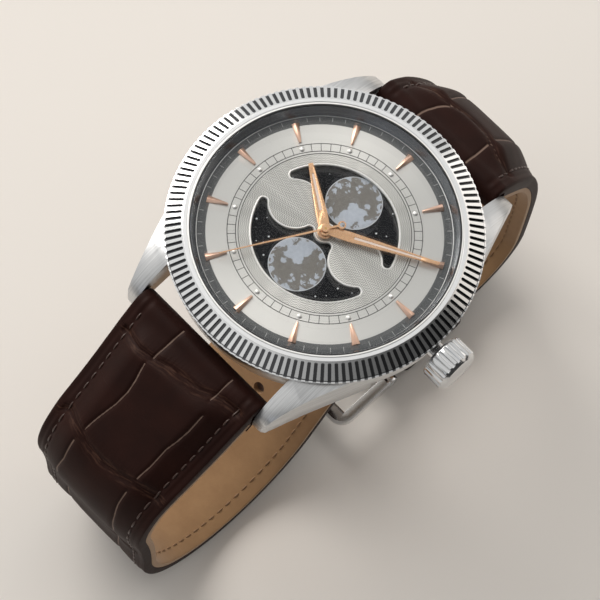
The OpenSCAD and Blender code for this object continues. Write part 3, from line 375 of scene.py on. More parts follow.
dress(bezelMaterial(), "bezel")
dress(crystalMaterial(), "crystal")
dress(rubber, "back_gasket", "crown_gasket")
dress(flange, "rehaut")
dress(chapter, "minute_ring")
dress(silveredDial("silveredSunrayDial", False), "dial_plate")
dress(silveredDial("engineTurnedSilver", True), "centre_plate")
dress(rimSilver, "track_pearls")
dress(steel["polished"], "bridge_screws", "crown_tube", "spring_bar_12", "spring_bar_6", "cannon_pinion",
      "setting_wheel", "winding_stem", "yoke", "sliding_pinion", "setting_lever", "buckle_bar")
dress(brass, "mainplate", "motion_cover", "train_bridge", "battery_clamp", "hour_wheel", "centre_wheel",
      "seconds_wheel", "third_wheel", "minute_wheel", "day_wheel", "intermediate_wheel")
dress(nickel, "battery", "stator")
dress(copperWire, "coil")
dress(board, "circuit_board")
dress(magnet, "rotor")
dress(plastic, "movement_ring")
dress(steel["brushed"], "case_back")
dress(roseGold, "second_hand")
softEdges("mid_case", 0.09, steel["brushed"])
softEdges("crown", 0.08, steel["polished"])
softEdges("hour_hand", 0.05, roseGold)
softEdges("minute_hand", 0.05, roseGold)
softEdges("hour_markers", 0.03, markerGold)
softEdges("buckle_frame", 0.3, steel["polished"], segments=3)
softEdges("buckle_tongue", 0.2, steel["polished"], segments=3)
print("case, dial and movement dressed")

dial = {"face": 7.7, "sunk": 0.02, "raised": 0.012, "trackIn": 11.65, "trackOut": 12.75, "line": 0.11,
        "stroke": 0.088, "tickIn": 16.0, "tickOut": 16.6, "tick": 0.075, "stepIn": 11.26, "stepOut": 11.36}


def flatRing(inner, outer, low, high, count=180):
    points = []
    for i in range(count):
        a = 2 * math.pi * i / count
        for r, z in ((inner, low), (outer, low), (outer, high), (inner, high)):
            points.append((r * math.cos(a), r * math.sin(a), z))
    return points, tubeFaces(count, 4, closed=True)


def flatStroke(angle, near, far, width, low, high):
    c, s = math.cos(angle), math.sin(angle)
    points = []
    for z in (low, high):
        for r, w in ((near, -width / 2), (far, -width / 2), (far, width / 2), (near, width / 2)):
            points.append((r * s + w * c, r * c - w * s, z))
    return points, [(0, 1, 2, 3), (4, 5, 6, 7), (0, 1, 5, 4), (1, 2, 6, 5), (2, 3, 7, 6), (3, 0, 4, 7)]


def dialPrintAndStepShade():
    low, high = dial["face"] - dial["sunk"], dial["face"] + dial["raised"]
    half = dial["line"] / 2
    shapes = [flatRing(dial[k] - half, dial[k] + half, low, high) for k in ("trackIn", "trackOut")]
    between = [math.radians(minute * 6) for minute in range(60) if minute % 5]
    shapes += [flatStroke(a, dial["trackIn"], dial["trackOut"], dial["stroke"], low, high) for a in between]
    makePiece("railwayTrack", *joinShapes(shapes), printInk, "case", "dark_ring")
    ticks = [flatStroke(a, dial["tickIn"], dial["tickOut"], dial["tick"], low, high) for a in between]
    makePiece("minuteTicks", *joinShapes(ticks), tickInk, "case", "dial_silver")
    # painted shade: a dark ink ring sits in the step round the centre plate, where that step's shade falls
    step = flatRing(dial["stepIn"], dial["stepOut"], dial["face"] - 0.1, dial["face"] + 0.01)
    makePiece("centreStepShade", *step, printInk, "case", "dark_ring")


dialPrintAndStepShade()

# dark gasket round the crystal, the bezel's polished lip against it, and the flange's bright foot
rings = {
    "crystalGasket": {"size": (17.53, 17.71, 9.32, 9.46), "material": rubber, "slot": "rubber",
                      "node": "crystal_gasket"},
    "bezelLip": {"size": (17.72, 17.9, 9.32, 9.5), "material": rimSilver, "slot": "polished_steel"},
    "flangeFoot": {"size": (16.72, 16.86, 7.66, 7.76), "material": rimSilver, "slot": "polished_steel"},
}
for name, ring in rings.items():
    made = makePiece(name, *flatRing(*ring["size"]), ring["material"], "case", ring["slot"])
    if "node" in ring:
        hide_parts(ring["node"])

# pale strips let into the slots of the two wide hands
inlays = {
    "hour_hand": {"name": "hourHandInlay", "angle": 303, "from": 3.03, "to": 8.27, "wide": 0.38, "narrow": 0.25,
                  "top": 8.24},
    "minute_hand": {"name": "minuteHandInlay", "angle": 61, "from": 3.93, "to": 12.97, "wide": 0.32, "narrow": 0.21,
                    "top": 8.64},
}
for node, strip in inlays.items():
    a = math.radians(strip["angle"])
    points = []
    near, far, wide, narrow = (strip[k] for k in ("from", "to", "wide", "narrow"))
    for z in (strip["top"] - 0.1, strip["top"]):
        for r, w in ((near, -wide), (far, -narrow), (far, narrow), (near, wide)):
            points.append((r * math.sin(a) + w / 2 * math.cos(a), r * math.cos(a) - w / 2 * math.sin(a), z))
    makePiece(strip["name"], points, tubeFaces(2, 4), inlay, bodyOf[node], "dial_silver")

aperture = {"outer": 9.65, "lobe": 3.6, "lobeAt": 5.6, "hub": 1.48, "corner": 0.55}


# right half of the aperture's outline at six o'clock, from the bottom round to the hub
def apertureOutline():
    big, lobe, at, hub, c = (aperture[k] for k in ("outer", "lobe", "lobeAt", "hub", "corner"))

    def meet(fromCentre, fromLobe):
        x = (fromCentre ** 2 - fromLobe ** 2 + at ** 2) / (2 * at)
        return x, -math.sqrt(fromCentre ** 2 - x ** 2)

    horn, neck = meet(big - c, lobe + c), meet(hub + c, lobe + c)
    arcs = [((0, 0), big, -90, math.degrees(math.atan2(horn[1], horn[0])), 40)]
    toLobe = math.degrees(math.atan2(-horn[1], at - horn[0]))
    arcs.append((horn, c, arcs[0][3], toLobe, 14))
    arcs.append(((at, 0), lobe, toLobe - 180, math.degrees(math.atan2(neck[1], neck[0] - at)), 40))
    neckLobe = math.degrees(math.atan2(-neck[1], at - neck[0]))
    arcs.append((neck, c, neckLobe, math.degrees(math.atan2(-neck[1], -neck[0])), 14))
    arcs.append(((0, 0), hub, math.degrees(math.atan2(neck[1], neck[0])), -90, 12))
    points = []
    for centre, r, a, b, n in arcs:
        for i in range(n):
            t = math.radians(a + (b - a) * i / n)
            points.append((centre[0] + r * math.cos(t), centre[1] + r * math.sin(t)))
    points.append((0, -hub))
    return points


def apertureRims():
    half = apertureOutline()
    loop = np.array(half + [(-x, y) for x, y in half[-2:0:-1]])
    ahead = np.roll(loop, -1, 0) - np.roll(loop, 1, 0)
    ahead /= np.linalg.norm(ahead, axis=1)[:, None]
    out = np.stack([ahead[:, 1], -ahead[:, 0]], 1)
    face = dial["face"] - 0.03
    # the rim's section: distance from the outline and height
    profile = [(0.27, face - 0.02), (0.2, face + 0.05), (0.1, face + 0.06), (0.0, face - 0.02), (-0.03, face - 0.3),
               (0.27, face - 0.3)]
    shapes = []
    for sign in (1, -1):
        points = []
        for p, n in zip(loop, out):
            for d, z in profile:
                q = p + n * d
                points.append((sign * q[0], sign * q[1], z))
        shapes.append((points, tubeFaces(len(loop), len(profile), closed=True)))
    makePiece("apertureRims", *joinShapes(shapes), rimSilver, "case", "polished_steel")


apertureRims()


def moonSky():
    # gloss enamel, near black with a blue cast
    sky = plainCoat("midnightEnamel", "#0C0F14", "#0A0C11", 0.4, grain=3.0, specular=0.15)
    dress(sky, "moon_disc")
    # moon print: grey-brown seas over pale blue-grey ground, under clear gloss, with a painted highlight round the
    # edge
    material, add, place = newMaterial("moonPrintAndRimHighlight", colour="#6F6D68", roughness=0.4, coat=0.35, coatRoughness=0.1)
    wobble = add("TexNoise", {"Vector": place, "Scale": 1 / (1.1 * mm), "Detail": 7.0, "Roughness": 0.8})
    shift = add("VectorMath", {0: wobble.outputs["Color"], 1: (0.5, 0.5, 0.5)}, operation="SUBTRACT")
    spread = add("VectorMath", {0: shift, "Scale": 1.5 * mm}, operation="SCALE")
    bent = add("VectorMath", {0: place, 1: spread}, operation="ADD")
    # x, y and radius of the printed seas and plains
    pale = [(0.9, -2.1, 1.2), (1.8, -0.7, 1.0), (0.4, -0.5, 0.7), (0.6, -3.3, 0.7), (2.8, -1.2, 0.6),
            (1.6, 0.9, 0.35), (-1.1, 2.3, 0.25), (-0.6, 1.6, 0.2), (-1.2, 1.7, 0.25), (-1.8, 0.3, 0.13),
            (-1.6, 0.8, 0.12), (-2.1, 1.3, 0.15)]
    dark = [(-1.3, -1.8, 0.8), (-0.7, -0.1, 0.5), (2.7, -0.4, 0.45), (2.7, 0.5, 0.4)]

    def blobs(spots, vector):
        total = None
        for x, y, r in spots:
            d = add("VectorMath", {0: vector, 1: (x * mm, y * mm, 0)}, operation="DISTANCE")
            m = add("MapRange", {"Value": d, "From Min": (r + 0.06) * mm, "From Max": (r - 0.06) * mm})
            total = m if total is None else add("Math", {0: total, 1: m}, operation="MAXIMUM")
        return total

    flat = add("VectorMath", {0: bent, 1: (1.0, 1.0, 0.0)}, operation="MULTIPLY")
    light = add("Math", {0: blobs(pale, flat), 1: blobs(dark, flat)}, operation="SUBTRACT", use_clamp=True)
    level = add("VectorMath", {0: place, 1: (1.0, 1.0, 0.0)}, operation="MULTIPLY")
    edge = add("VectorMath", {0: level}, operation="LENGTH")
    # patches of high ground gather toward the rim
    patches = add("TexNoise", {"Vector": place, "Scale": 1 / (1.2 * mm), "Detail": 6.0, "Roughness": 0.6,
                               "Distortion": 0.6})
    toRim = add("MapRange", {"Value": edge, "From Min": 2.2 * mm, "From Max": 3.6 * mm, "To Min": 0.0,
                             "To Max": 0.16})
    raised = add("Math", {0: patches, 1: toRim}, operation="ADD")
    raised = add("MapRange", {"Value": raised, "From Min": 0.64, "From Max": 0.67})
    light = add("Math", {0: light, 1: raised}, operation="MAXIMUM")
    mottle = add("TexNoise", {"Vector": place, "Scale": 1 / (0.5 * mm), "Detail": 4.0})
    sea = add("Mix", {"Factor": mottle, "A": "#5E5C58", "B": "#7C7973"}, data_type="RGBA")
    ground = add("Mix", {"Factor": mottle, "A": "#9DA7B5", "B": "#BCC4CE"}, data_type="RGBA")
    tone = add("Mix", {"Factor": light, "A": sea, "B": ground}, data_type="RGBA")
    # painted highlight: a pale ring round the moon's edge
    rim = add("MapRange", {"Value": edge, "From Min": 3.66 * mm, "From Max": 3.72 * mm})
    add("Mix", {"Factor": rim, "A": tone, "B": "#C2C7CD"}, data_type="RGBA", feeds="Base Color")
    add("Bump", {"Height": light, "Strength": 0.3, "Distance": 0.01 * mm}, feeds="Normal")
    top = 7.15  # the disc's upper face
    domed = [(3.8, -0.03), (3.8, 0.03), (3.6, 0.045), (2.4, 0.055), (1.2, 0.06)]
    sides = 96
    circle = [2 * math.pi * i / sides for i in range(sides)]
    for name, x, y, turn in (("moonTwelve", -0.55, 5.9, 0), ("moonSix", 0.58, -5.6, 180)):
        points = [(r * math.cos(a), r * math.sin(a), z) for r, z in domed for a in circle]
        moon = makePiece(name, points, tubeFaces(len(domed), sides), material, "moon", "moon_blue")
        upright = Matrix.Rotation(math.radians(turn), 4, "Z")
        moon.matrix_world = Matrix.Translation((x * mm, y * mm, top * mm)) @ upright
    stars = [(-4.6, 8.6, 0.1), (-5.7, 6.5, 0.07), (4.0, 8.6, 0.11), (5.7, 5.7, 0.08), (4.5, 5.0, 0.13),
             (7.2, 4.2, 0.09), (-7.6, -5.0, 0.13), (-4.7, -5.6, 0.13), (-4.6, -6.7, 0.1), (-5.4, -7.2, 0.07),
             (-3.3, -7.9, 0.12), (-6.8, -3.9, 0.07), (6.6, -4.1, 0.13), (6.3, -5.9, 0.07), (5.4, -7.0, 0.11),
             (8.3, -3.2, 0.08), (-8.6, 2.6, 0.08), (-7.9, 0.6, 0.11), (8.8, 0.7, 0.1), (9.1, 2.1, 0.07),
             (-9.3, -1.4, 0.09), (7.6, -0.6, 0.07), (-7.2, 5.1, 0.1)]
    shapes = []
    for x, y, r in stars:
        ring = [(x + r * k * math.cos(a * math.pi / 5), y + r * k * math.sin(a * math.pi / 5), top + z)
                for k, z in ((1, -0.02), (1, 0.008), (0.6, 0.02)) for a in range(10)]
        shapes.append((ring, tubeFaces(3, 10)))
    makePiece("skyStars", *joinShapes(shapes), starInk, "moon", "dial_silver")


moonSky()
print("dial print, apertures and moons made")

strap = {
    "barY": 22.4, "barZ": 2.5, "loop": 2.05, "hole": 0.98,
    "width": 22, "endWidth": 20, "taperTop": 2, "taperDrop": 16, "tip": 8,
    "leather": 1.5, "lining": 0.9, "root": 0.9, "rootLength": 26,
    "pad": 1.6, "padFrom": 8, "padLength": 30, "tailPad": 0.18, "tailFrom": 30, "tailLength": 20,
    "edge": 1.0, "shoulder": 4.4, "stitchIn": 1.95, "groove": 0.16, "puff": 0.14, "swell": 0.04,
    "step": 0.28, "liningStep": 0.8, "columns": 130, "underColumns": 10,
}
# legs of the strap's inner line: length and turn in degrees
halves = {
    "12": {"side": 1, "heading": -45, "legs": [(10, -9), (16.4, -33), (12, -4), (11.8, -89), (18.6, 0)]},
    "6": {"side": -1, "heading": -40, "legs": [(15.9, 14), (11.7, -74), (11.2, 10), (26.4, -92), (16, -53), (15, 0)]},
}
for half in halves.values():
    half["length"] = sum(leg[0] for leg in half["legs"])


# place at the end of a leg that bends evenly by turn
def alongLeg(spot, length, turn):
    y, z, h = spot
    a, b = math.radians(h), math.radians(h + turn)
    if abs(turn) < 0.001:
        return y + length * math.cos(a), z + length * math.sin(a), h
    r = length / math.radians(turn)
    return y + r * (math.sin(b) - math.sin(a)), z - r * (math.cos(b) - math.cos(a)), h + turn


# place on the strap's inner line: y, z and heading
def onRoute(half, s):
    spot = (strap["barY"], strap["barZ"], half["heading"])
    for length, turn in half["legs"]:
        if s <= length:
            return alongLeg(spot, s, turn * s / length)
        spot = alongLeg(spot, length, turn)
        s -= length
    return alongLeg(spot, s, 0)


# a point off the inner line and across the strap
def strapPoint(half, s, off, x):
    y, z, h = onRoute(half, s)
    h = math.radians(h)
    return x, half["side"] * (y - off * math.sin(h)), z + off * math.cos(h)


def halfWidth(half, s):
    z = onRoute(half, max(s, 0))[1]
    t = np.interp((strap["taperTop"] - z) / strap["taperDrop"], [0, 0.25, 0.625, 1], [0, 0.3, 0.85, 1])
    w = (strap["width"] + (strap["endWidth"] - strap["width"]) * t) / 2
    if half["side"] < 0:  # the tail ends in a rounded point
        p = (s - half["length"] + strap["tip"]) / strap["tip"]
        if p > 0:
            w *= math.sqrt(max(0.0, 1 - min(p, 1) ** (2 / 0.75)))
    return w


# creases of the embossed scales: points as distance along the strap and across it, band for the wrinkled folds
# and pale for the thin waxed lines, both as a half width
creases = {
    "6": [
        {"line": [(3.6, -9.4), (3.7, -6), (3.4, -4), (2.7, -1.3), (2.4, 1), (2.1, 3.6), (1.5, 5.1), (0.9, 6.7),
                  (0.8, 9.4)], "depth": 0.42, "width": 0.55, "band": 0.75},
        {"line": [(-1.9, -3.3), (0.8, -3.5), (3.3, -3.6)], "depth": 0.14, "width": 0.24, "pale": 0.12},
        {"line": [(-1.9, 5.8), (0.3, 5.7), (1.9, 5.6)], "depth": 0.14, "width": 0.24, "pale": 0.11},
        {"line": [(4.4, -3.9), (5.7, -3.7), (7.1, -3.4), (9.2, -3.2), (11.7, -3.4), (14.6, -4), (17, -4.4)],
         "depth": 0.16, "width": 0.28, "pale": 0.11},
        {"line": [(4, 6.4), (7.1, 6.3), (9.3, 6), (11.2, 5.6), (14.6, 5.5), (16.8, 5.2)], "depth": 0.16,
         "width": 0.28, "pale": 0.11},
        {"line": [(17.7, -9.4), (17, -7.9), (17.5, -5.3), (18.1, -2.7), (18.3, 0), (18, 2.5), (17.6, 4.4),
                  (17.2, 6.6), (17, 9.4)], "depth": 0.38, "width": 0.5, "band": 0.6},
        {"line": [(18.8, -4.7), (21.8, -4.6), (24.6, -5.2), (31, -5.6)], "depth": 0.15, "width": 0.26, "pale": 0.12},
        {"line": [(18.6, 5.2), (20.6, 5.2), (22.6, 5.5), (26, 5.7), (32, 5.2)], "depth": 0.15, "width": 0.26,
         "pale": 0.11},
    ],
    "12": [
        {"line": [(3.5, -9.4), (3.3, -6), (3.6, -3), (4.3, -1.3), (4.4, 1), (4.1, 3), (3.4, 4.7), (2.7, 6.6),
                  (3.2, 9.4)], "depth": 0.26, "width": 0.6, "band": 0.6, "pale": 0.08},
        {"line": [(-1.9, -4.6), (0.4, -4.5), (1.8, -4), (3.2, -3.1)], "depth": 0.16, "width": 0.24, "pale": 0.16},
        {"line": [(-1.9, 4.7), (0, 4.7), (2.9, 4.5)], "depth": 0.16, "width": 0.24, "pale": 0.16},
        {"line": [(4.8, -4), (9, -4.3), (14, -4.6), (17.8, -5)], "depth": 0.15, "width": 0.26, "pale": 0.12},
        {"line": [(4.8, 4.4), (9, 4.6), (14, 4.8), (17.8, 5)], "depth": 0.15, "width": 0.26, "pale": 0.12},
    ],
}


# the scales that the photograph hides follow the same rule, with seeded small changes
def moreScales(start, end, seed):
    pick = random.Random(seed)
    found = []
    s = start
    while s < end - 6:
        gap = 12.5 + pick.uniform(-1, 1)
        row = [(s + pick.uniform(-0.8, 0.8) + 0.5 * math.cos(x / 2.5), x) for x in (-9.4, -6, -3, 0, 3, 6, 9.4)]
        found.append({"line": row, "depth": 0.28, "width": 0.6, "band": 0.6})
        for x in (-5.4, 5.3):
            x += pick.uniform(-0.5, 0.5)
            last = min(s + gap - 1, end - 1)
            line = [(s + 1, x), ((s + last) / 2, x + pick.uniform(-0.5, 0.5)), (last, x + pick.uniform(-0.5, 0.5))]
            found.append({"line": line, "depth": 0.15, "width": 0.26, "pale": 0.12})
        s += gap
    return found


creases["6"] += moreScales(33, 95, 4)
creases["12"] += moreScales(18.5, 67, 9)


def lineDistance(s, x, line):
    best = np.full(s.shape, 1e9)
    for (s0, x0), (s1, x1) in zip(line, line[1:]):
        ds, dx = s1 - s0, x1 - x0
        t = np.clip(((s - s0) * ds + (x - x0) * dx) / (ds * ds + dx * dx), 0, 1)
        best = np.minimum(best, np.hypot(s - s0 - t * ds, x - x0 - t * dx))
    return best


# how the relief fades: from the loop round the spring bar, past the bar, and from the strap's rim
relief = {"loopFrom": 0.5, "loopLength": 5, "barFrom": 2.6, "barLength": 1.2, "rim": 0.9, "rimLength": 0.5,
          "puffWidth": 1.2, "grooveWidth": 0.4, "swellScale": 0.35}
farMark = 9.0  # marks go no further than this


# height of the leather over the route, with marks for the material: creaseNear is the square of the distance to a
# pale crease in its half widths, foldBand is 1 on a fold, and foldAcross is the distance past the fold
def leatherTop(key, s, x, w):
    body = strap["leather"] + strap["root"] * (1 - ease(s / strap["rootLength"]))
    pad = strap["pad"] * (1 - ease((s - strap["padFrom"]) / strap["padLength"]))
    pad += strap["tailPad"] * (1 - ease((s - strap["tailFrom"]) / strap["tailLength"]))
    shoulder = ease((w - np.abs(x) - strap["edge"]) / strap["shoulder"])
    top = body + pad * shoulder
    top = strap["loop"] + (top - strap["loop"]) * ease((s + relief["loopFrom"]) / relief["loopLength"])
    band = np.zeros(s.shape)
    pale, near, across, nearest = (np.full(s.shape, far) for far in (farMark, 4.0, farMark, 99.0))
    past = ease((s + relief["barFrom"]) / relief["barLength"])
    inside = ease((w - np.abs(x) - relief["rim"]) / relief["rimLength"]) * past
    for c in creases[key]:
        d = lineDistance(s, x, c["line"])
        near = np.minimum(near, d)
        top -= c["depth"] * np.exp(-(d / c["width"]) ** 2) * inside
        if "band" in c:
            band = np.maximum(band, np.exp(-(d / c["band"]) ** 2))
            signed = s - np.interp(x, [b for a, b in c["line"]], [a for a, b in c["line"]])
            across = np.where(d < nearest, signed, across)
            nearest = np.minimum(nearest, d)
        if "pale" in c:
            pale = np.minimum(pale, (d / c["pale"]) ** 2)
    top += strap["puff"] * (1 - np.exp(-near / relief["puffWidth"])) * inside
    # the stitch line pulls a groove beside the edge
    top -= strap["groove"] * np.exp(-((w - np.abs(x) - strap["stitchIn"]) / relief["grooveWidth"]) ** 2) * past
    k = relief["swellScale"]
    swell = np.array([noise.noise((a * k, b * k, 1.0)) for a, b in zip(s.ravel(), x.ravel())]).reshape(s.shape)
    marks = {"creaseNear": np.minimum(pale, farMark), "foldBand": band,
             "foldAcross": np.clip(across, -farMark, farMark) * mm}
    return top + swell * strap["swell"] * inside, marks


def leatherMaterial():
    # embossed calf, dyed and waxed: near-black brown, soft gloss on the scales, paler wax in the thin creases,
    # painted highlights on the crests of the folds' wrinkles
    look = {"deep": "#1A0B08", "warm": "#2E1610", "crease": "#7A665B", "fold": "#5C4134", "wrinkle": 0.3, "rib": 0.35,
            "grain": 0.16, "cloud": 4.0}
    material, add, place = newMaterial("embossedBrownCalf", colour=look["deep"], roughness=0.56, specular=0.1)
    along = add("Attribute", attribute_name="alongStrap").outputs["Fac"]
    across = add("SeparateXYZ", {"Vector": place}).outputs["X"]
    onStrap = add("CombineXYZ", {"X": along, "Y": across})
    cloud = add("TexNoise", {"Vector": place, "Scale": 1 / (look["cloud"] * mm), "Detail": 5.0})
    tone = add("Mix", {"Factor": cloud, "A": look["deep"], "B": look["warm"]}, data_type="RGBA")
    # each fold carries wrinkles that follow it, and short ribs on the side of the case
    fold = add("Attribute", attribute_name="foldAcross").outputs["Fac"]
    onFold = add("CombineXYZ", {"X": fold, "Y": across})
    stretched = add("Mapping", {"Vector": onFold, "Scale": (1.0, 0.12, 1.0)})
    ribbed = add("Mapping", {"Vector": onStrap, "Scale": (0.12, 1.0, 1.0)})
    rib = add("TexNoise", {"Vector": ribbed, "Scale": 1 / (look["rib"] * mm), "Detail": 2.0})
    ribIn = add("MapRange", {"Value": fold, "From Min": -2.8 * mm, "From Max": -0.9 * mm})
    ribOut = add("MapRange", {"Value": fold, "From Min": 0.3 * mm, "From Max": -0.4 * mm})
    ribs = add("Math", {0: rib, 1: add("Math", {0: ribIn, 1: ribOut}, operation="MULTIPLY")}, operation="MULTIPLY")
    wrinkle = add("TexNoise", {"Vector": stretched, "Scale": 1 / (look["wrinkle"] * mm), "Detail": 3.0,
                               "Roughness": 0.6})
    band = add("Attribute", attribute_name="foldBand").outputs["Fac"]
    # painted highlight: the crests of the wrinkles in each fold are coloured a paler brown
    crest = add("MapRange", {"Value": wrinkle, "From Min": 0.48, "From Max": 0.7})
    foldCrestHighlight = add("Math", {0: add("Math", {0: band, 1: crest}, operation="MULTIPLY"), 1: 0.7}, operation="MULTIPLY")
    tone = add("Mix", {"Factor": foldCrestHighlight, "A": tone, "B": look["fold"]}, data_type="RGBA")
    near = add("Attribute", attribute_name="creaseNear").outputs["Fac"]
    line = add("MapRange", {"Value": near, "From Min": 1.3, "From Max": 0.5})
    add("Mix", {"Factor": line, "A": tone, "B": look["crease"]}, data_type="RGBA", feeds="Base Color")
    fine = add("TexNoise", {"Vector": onStrap, "Scale": 1 / (look["grain"] * mm), "Detail": 3.0, "Roughness": 0.6})
    folded = add("Math", {0: band, 1: wrinkle}, operation="MULTIPLY")
    grain = add("Math", {0: folded, 1: 7.0, 2: fine}, operation="MULTIPLY_ADD")
    grain = add("Math", {0: ribs, 1: 4.0, 2: grain}, operation="MULTIPLY_ADD")
    add("Bump", {"Height": grain, "Strength": 0.35, "Distance": 0.04 * mm}, feeds="Normal")
    add("MapRange", {"Value": fine, "To Min": 0.44, "To Max": 0.64}, feeds="Roughness")
    return material


def liningMaterial():
    # vegetable-tanned calf lining: warm tan, matt, with a soft nap
    material, add, place = newMaterial("tanCalfLining", colour="#A58462", roughness=0.8, sheen=0.2)
    cloud = add("TexNoise", {"Vector": place, "Scale": 1 / (3.0 * mm), "Detail": 6.0, "Roughness": 0.65})
    nap = add("TexNoise", {"Vector": place, "Scale": 1 / (0.35 * mm), "Detail": 3.0})
    add("Mix", {"Factor": cloud, "A": "#8F6C49", "B": "#AE8A62"}, data_type="RGBA", feeds="Base Color")
    add("Bump", {"Height": nap, "Strength": 0.35, "Distance": 0.05 * mm}, feeds="Normal")
    return material


leather, liningLeather = leatherMaterial(), liningMaterial()


def storeValues(obj, name, values):
    attribute = obj.data.attributes.new(name, "FLOAT", "POINT")
    attribute.data.foreach_set("value", np.array(values, np.float32))


plainMarks = {"creaseNear": farMark, "foldBand": 0.0, "foldAcross": farMark * mm}
# the flap that is skived and glued back under the lining, and the turned edge beside the grid of scales
flap = {"stations": (3.2, 2.2, 1.2, 0.4), "low": 0.92, "thins": 0.95}
turnIn = 0.35


# leather without creases, as on the keepers
def plainLeather(obj):
    for mark, plain in plainMarks.items():
        storeValues(obj, mark, [plain] * len(obj.data.vertices))
    storeValues(obj, "alongStrap", [(v.co.y + v.co.z) for v in obj.data.vertices])


def leatherHalf(key, name, last, body, *nodes):
    half = halves[key]
    top, under = strap["columns"], strap["underColumns"]
    # the flap lies under the lining, the loop goes round the spring bar, and the run follows the route
    stations = [("flap", s) for s in flap["stations"]] + [("loop", a) for a in range(180, 0, -7)]
    stations += [("run", s) for s in np.append(np.arange(0, last, strap["step"]), last)]
    spots = [v if k == "run" else -math.radians(v) * strap["loop"] if k == "loop" else -9.0 for k, v in stations]
    widths = np.array([halfWidth(half, s) for s in spots])
    share = np.linspace(-1, 1, top)
    grid = share[None, :] * np.maximum(widths - turnIn, 0.05)[:, None]
    tops, marks = leatherTop(key, np.repeat(np.array(spots)[:, None], top, 1), grid, widths[:, None])
    points = []
    values = {mark: [] for mark in (*plainMarks, "alongStrap")}
    for i, (kind, v) in enumerate(stations):
        w = widths[i]
        inset = min(turnIn, w * 0.4)
        if kind == "run":
            low = math.sqrt(max(strap["hole"] ** 2 - v * v, 0.0))
            y, z, h = onRoute(half, v)
            h = math.radians(h)
            row = tops[i]
        else:
            h = math.radians(half["heading"])
            low = flap["low"] if kind == "flap" else strap["hole"]
            y, z = strap["barY"], strap["barZ"]
            if kind == "flap":
                y, z = y + v * math.cos(h), z + v * math.sin(h)
                row = np.full(top, strap["loop"] - flap["thins"] * float(ease(v / flap["stations"][0])))
                h += math.pi
            else:
                row = tops[i]
                h += math.radians(v)
        thick = row[0] - low
        side = (low + min(0.1, 0.2 * thick), row[0] - min(0.42, 0.45 * thick), row[0] - min(0.12, 0.15 * thick))
        ring = [(-w, side[0]), (-w, side[1]), (-w + 0.1, side[2])]
        ring += list(zip(grid[i], row))
        ring += [(w - 0.1, side[2]), (w, side[1]), (w, side[0])]
        ring += [(x, low) for x in np.linspace(w - inset * 0.4, -w + inset * 0.4, under)]
        points += [(x, half["side"] * (y - off * math.sin(h)), z + off * math.cos(h)) for x, off in ring]
        for mark, plain in plainMarks.items():
            values[mark] += [plain] * 3 + list(marks[mark][i]) + [plain] * (3 + under)
        values["alongStrap"] += [spots[i] * mm] * (6 + top + under)
    count = top + 6 + under
    obj = makePiece(name, points, tubeFaces(len(stations), count), leather, body, "leather", sharp=50)
    for mark, found in values.items():
        storeValues(obj, mark, found)
    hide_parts(*nodes)
    return obj


def liningHalf(key, name, first, last, body, *nodes):
    half = halves[key]
    points = []
    rows = np.append(np.arange(first, last, strap["liningStep"]), last)
    for s in rows:
        w = halfWidth(half, s)
        a = min(0.3, w * 0.3)
        t = strap["lining"]
        ring = [(-w, -0.12), (-w, -t + 0.2), (-w + a, -t), (-w / 2, -t), (0, -t), (w / 2, -t), (w - a, -t),
                (w, -t + 0.2), (w, -0.12), (w - 0.05, 0.05), (-w + 0.05, 0.05)]
        points += [strapPoint(half, s, off, x) for x, off in ring]
    obj = makePiece(name, points, tubeFaces(len(rows), len(ring)), liningLeather, body, "lining", sharp=50)
    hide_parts(*nodes)
    return obj


holes = {"count": 7, "fromTip": 14, "pitch": 6, "radius": 0.9, "reach": 4, "sides": 32}


# the tongue's holes go through leather and lining
def punchHoles(pieces):
    half = halves["6"]
    shapes = []
    for i in range(holes["count"]):
        y, z, h = onRoute(half, half["length"] - holes["fromTip"] - i * holes["pitch"])
        h = math.radians(h)
        ring = []
        for off in (-holes["reach"], holes["reach"]):
            for a in range(holes["sides"]):
                t = 2 * math.pi * a / holes["sides"]
                along = holes["radius"] * math.sin(t)
                ring.append((holes["radius"] * math.cos(t),
                             half["side"] * (y - off * math.sin(h) + along * math.cos(h)),
                             z + off * math.cos(h) + along * math.sin(h)))
        shapes.append((ring, tubeFaces(2, holes["sides"])))
    cutter = makePiece("holePunch", *joinShapes(shapes), leather, "strap_6")
    for piece in pieces:
        cut = piece.modifiers.new("holes", "BOOLEAN")
        cut.object = cutter
        cut.solver = "EXACT"
        applyModifiers(piece).set_sharp_from_angle(angle=math.radians(35))
    bpy.data.objects.remove(cutter)


len12, len6 = halves["12"]["length"], halves["6"]["length"]
leatherHalf("12", "strapTwelveLeather", len12 - 1.9, "strap_12", "strap_12_leather")
liningHalf("12", "strapTwelveLining", 1.9, len12 - 2.0, "strap_12", "strap_12_lining")
topSix = leatherHalf("6", "strapSixLeather", len6 - 0.15, "strap_6", "strap_6_leather")
liningSix = liningHalf("6", "strapSixLining", 1.9, len6 - 0.15, "strap_6", "strap_6_lining")
punchHoles([topSix, liningSix])
print("strap halves made")


stitch = {"pitch": 1.75, "long": 1.3, "radius": 0.15, "rise": 0.16, "sunk": 0.08, "around": 8, "parts": 6}


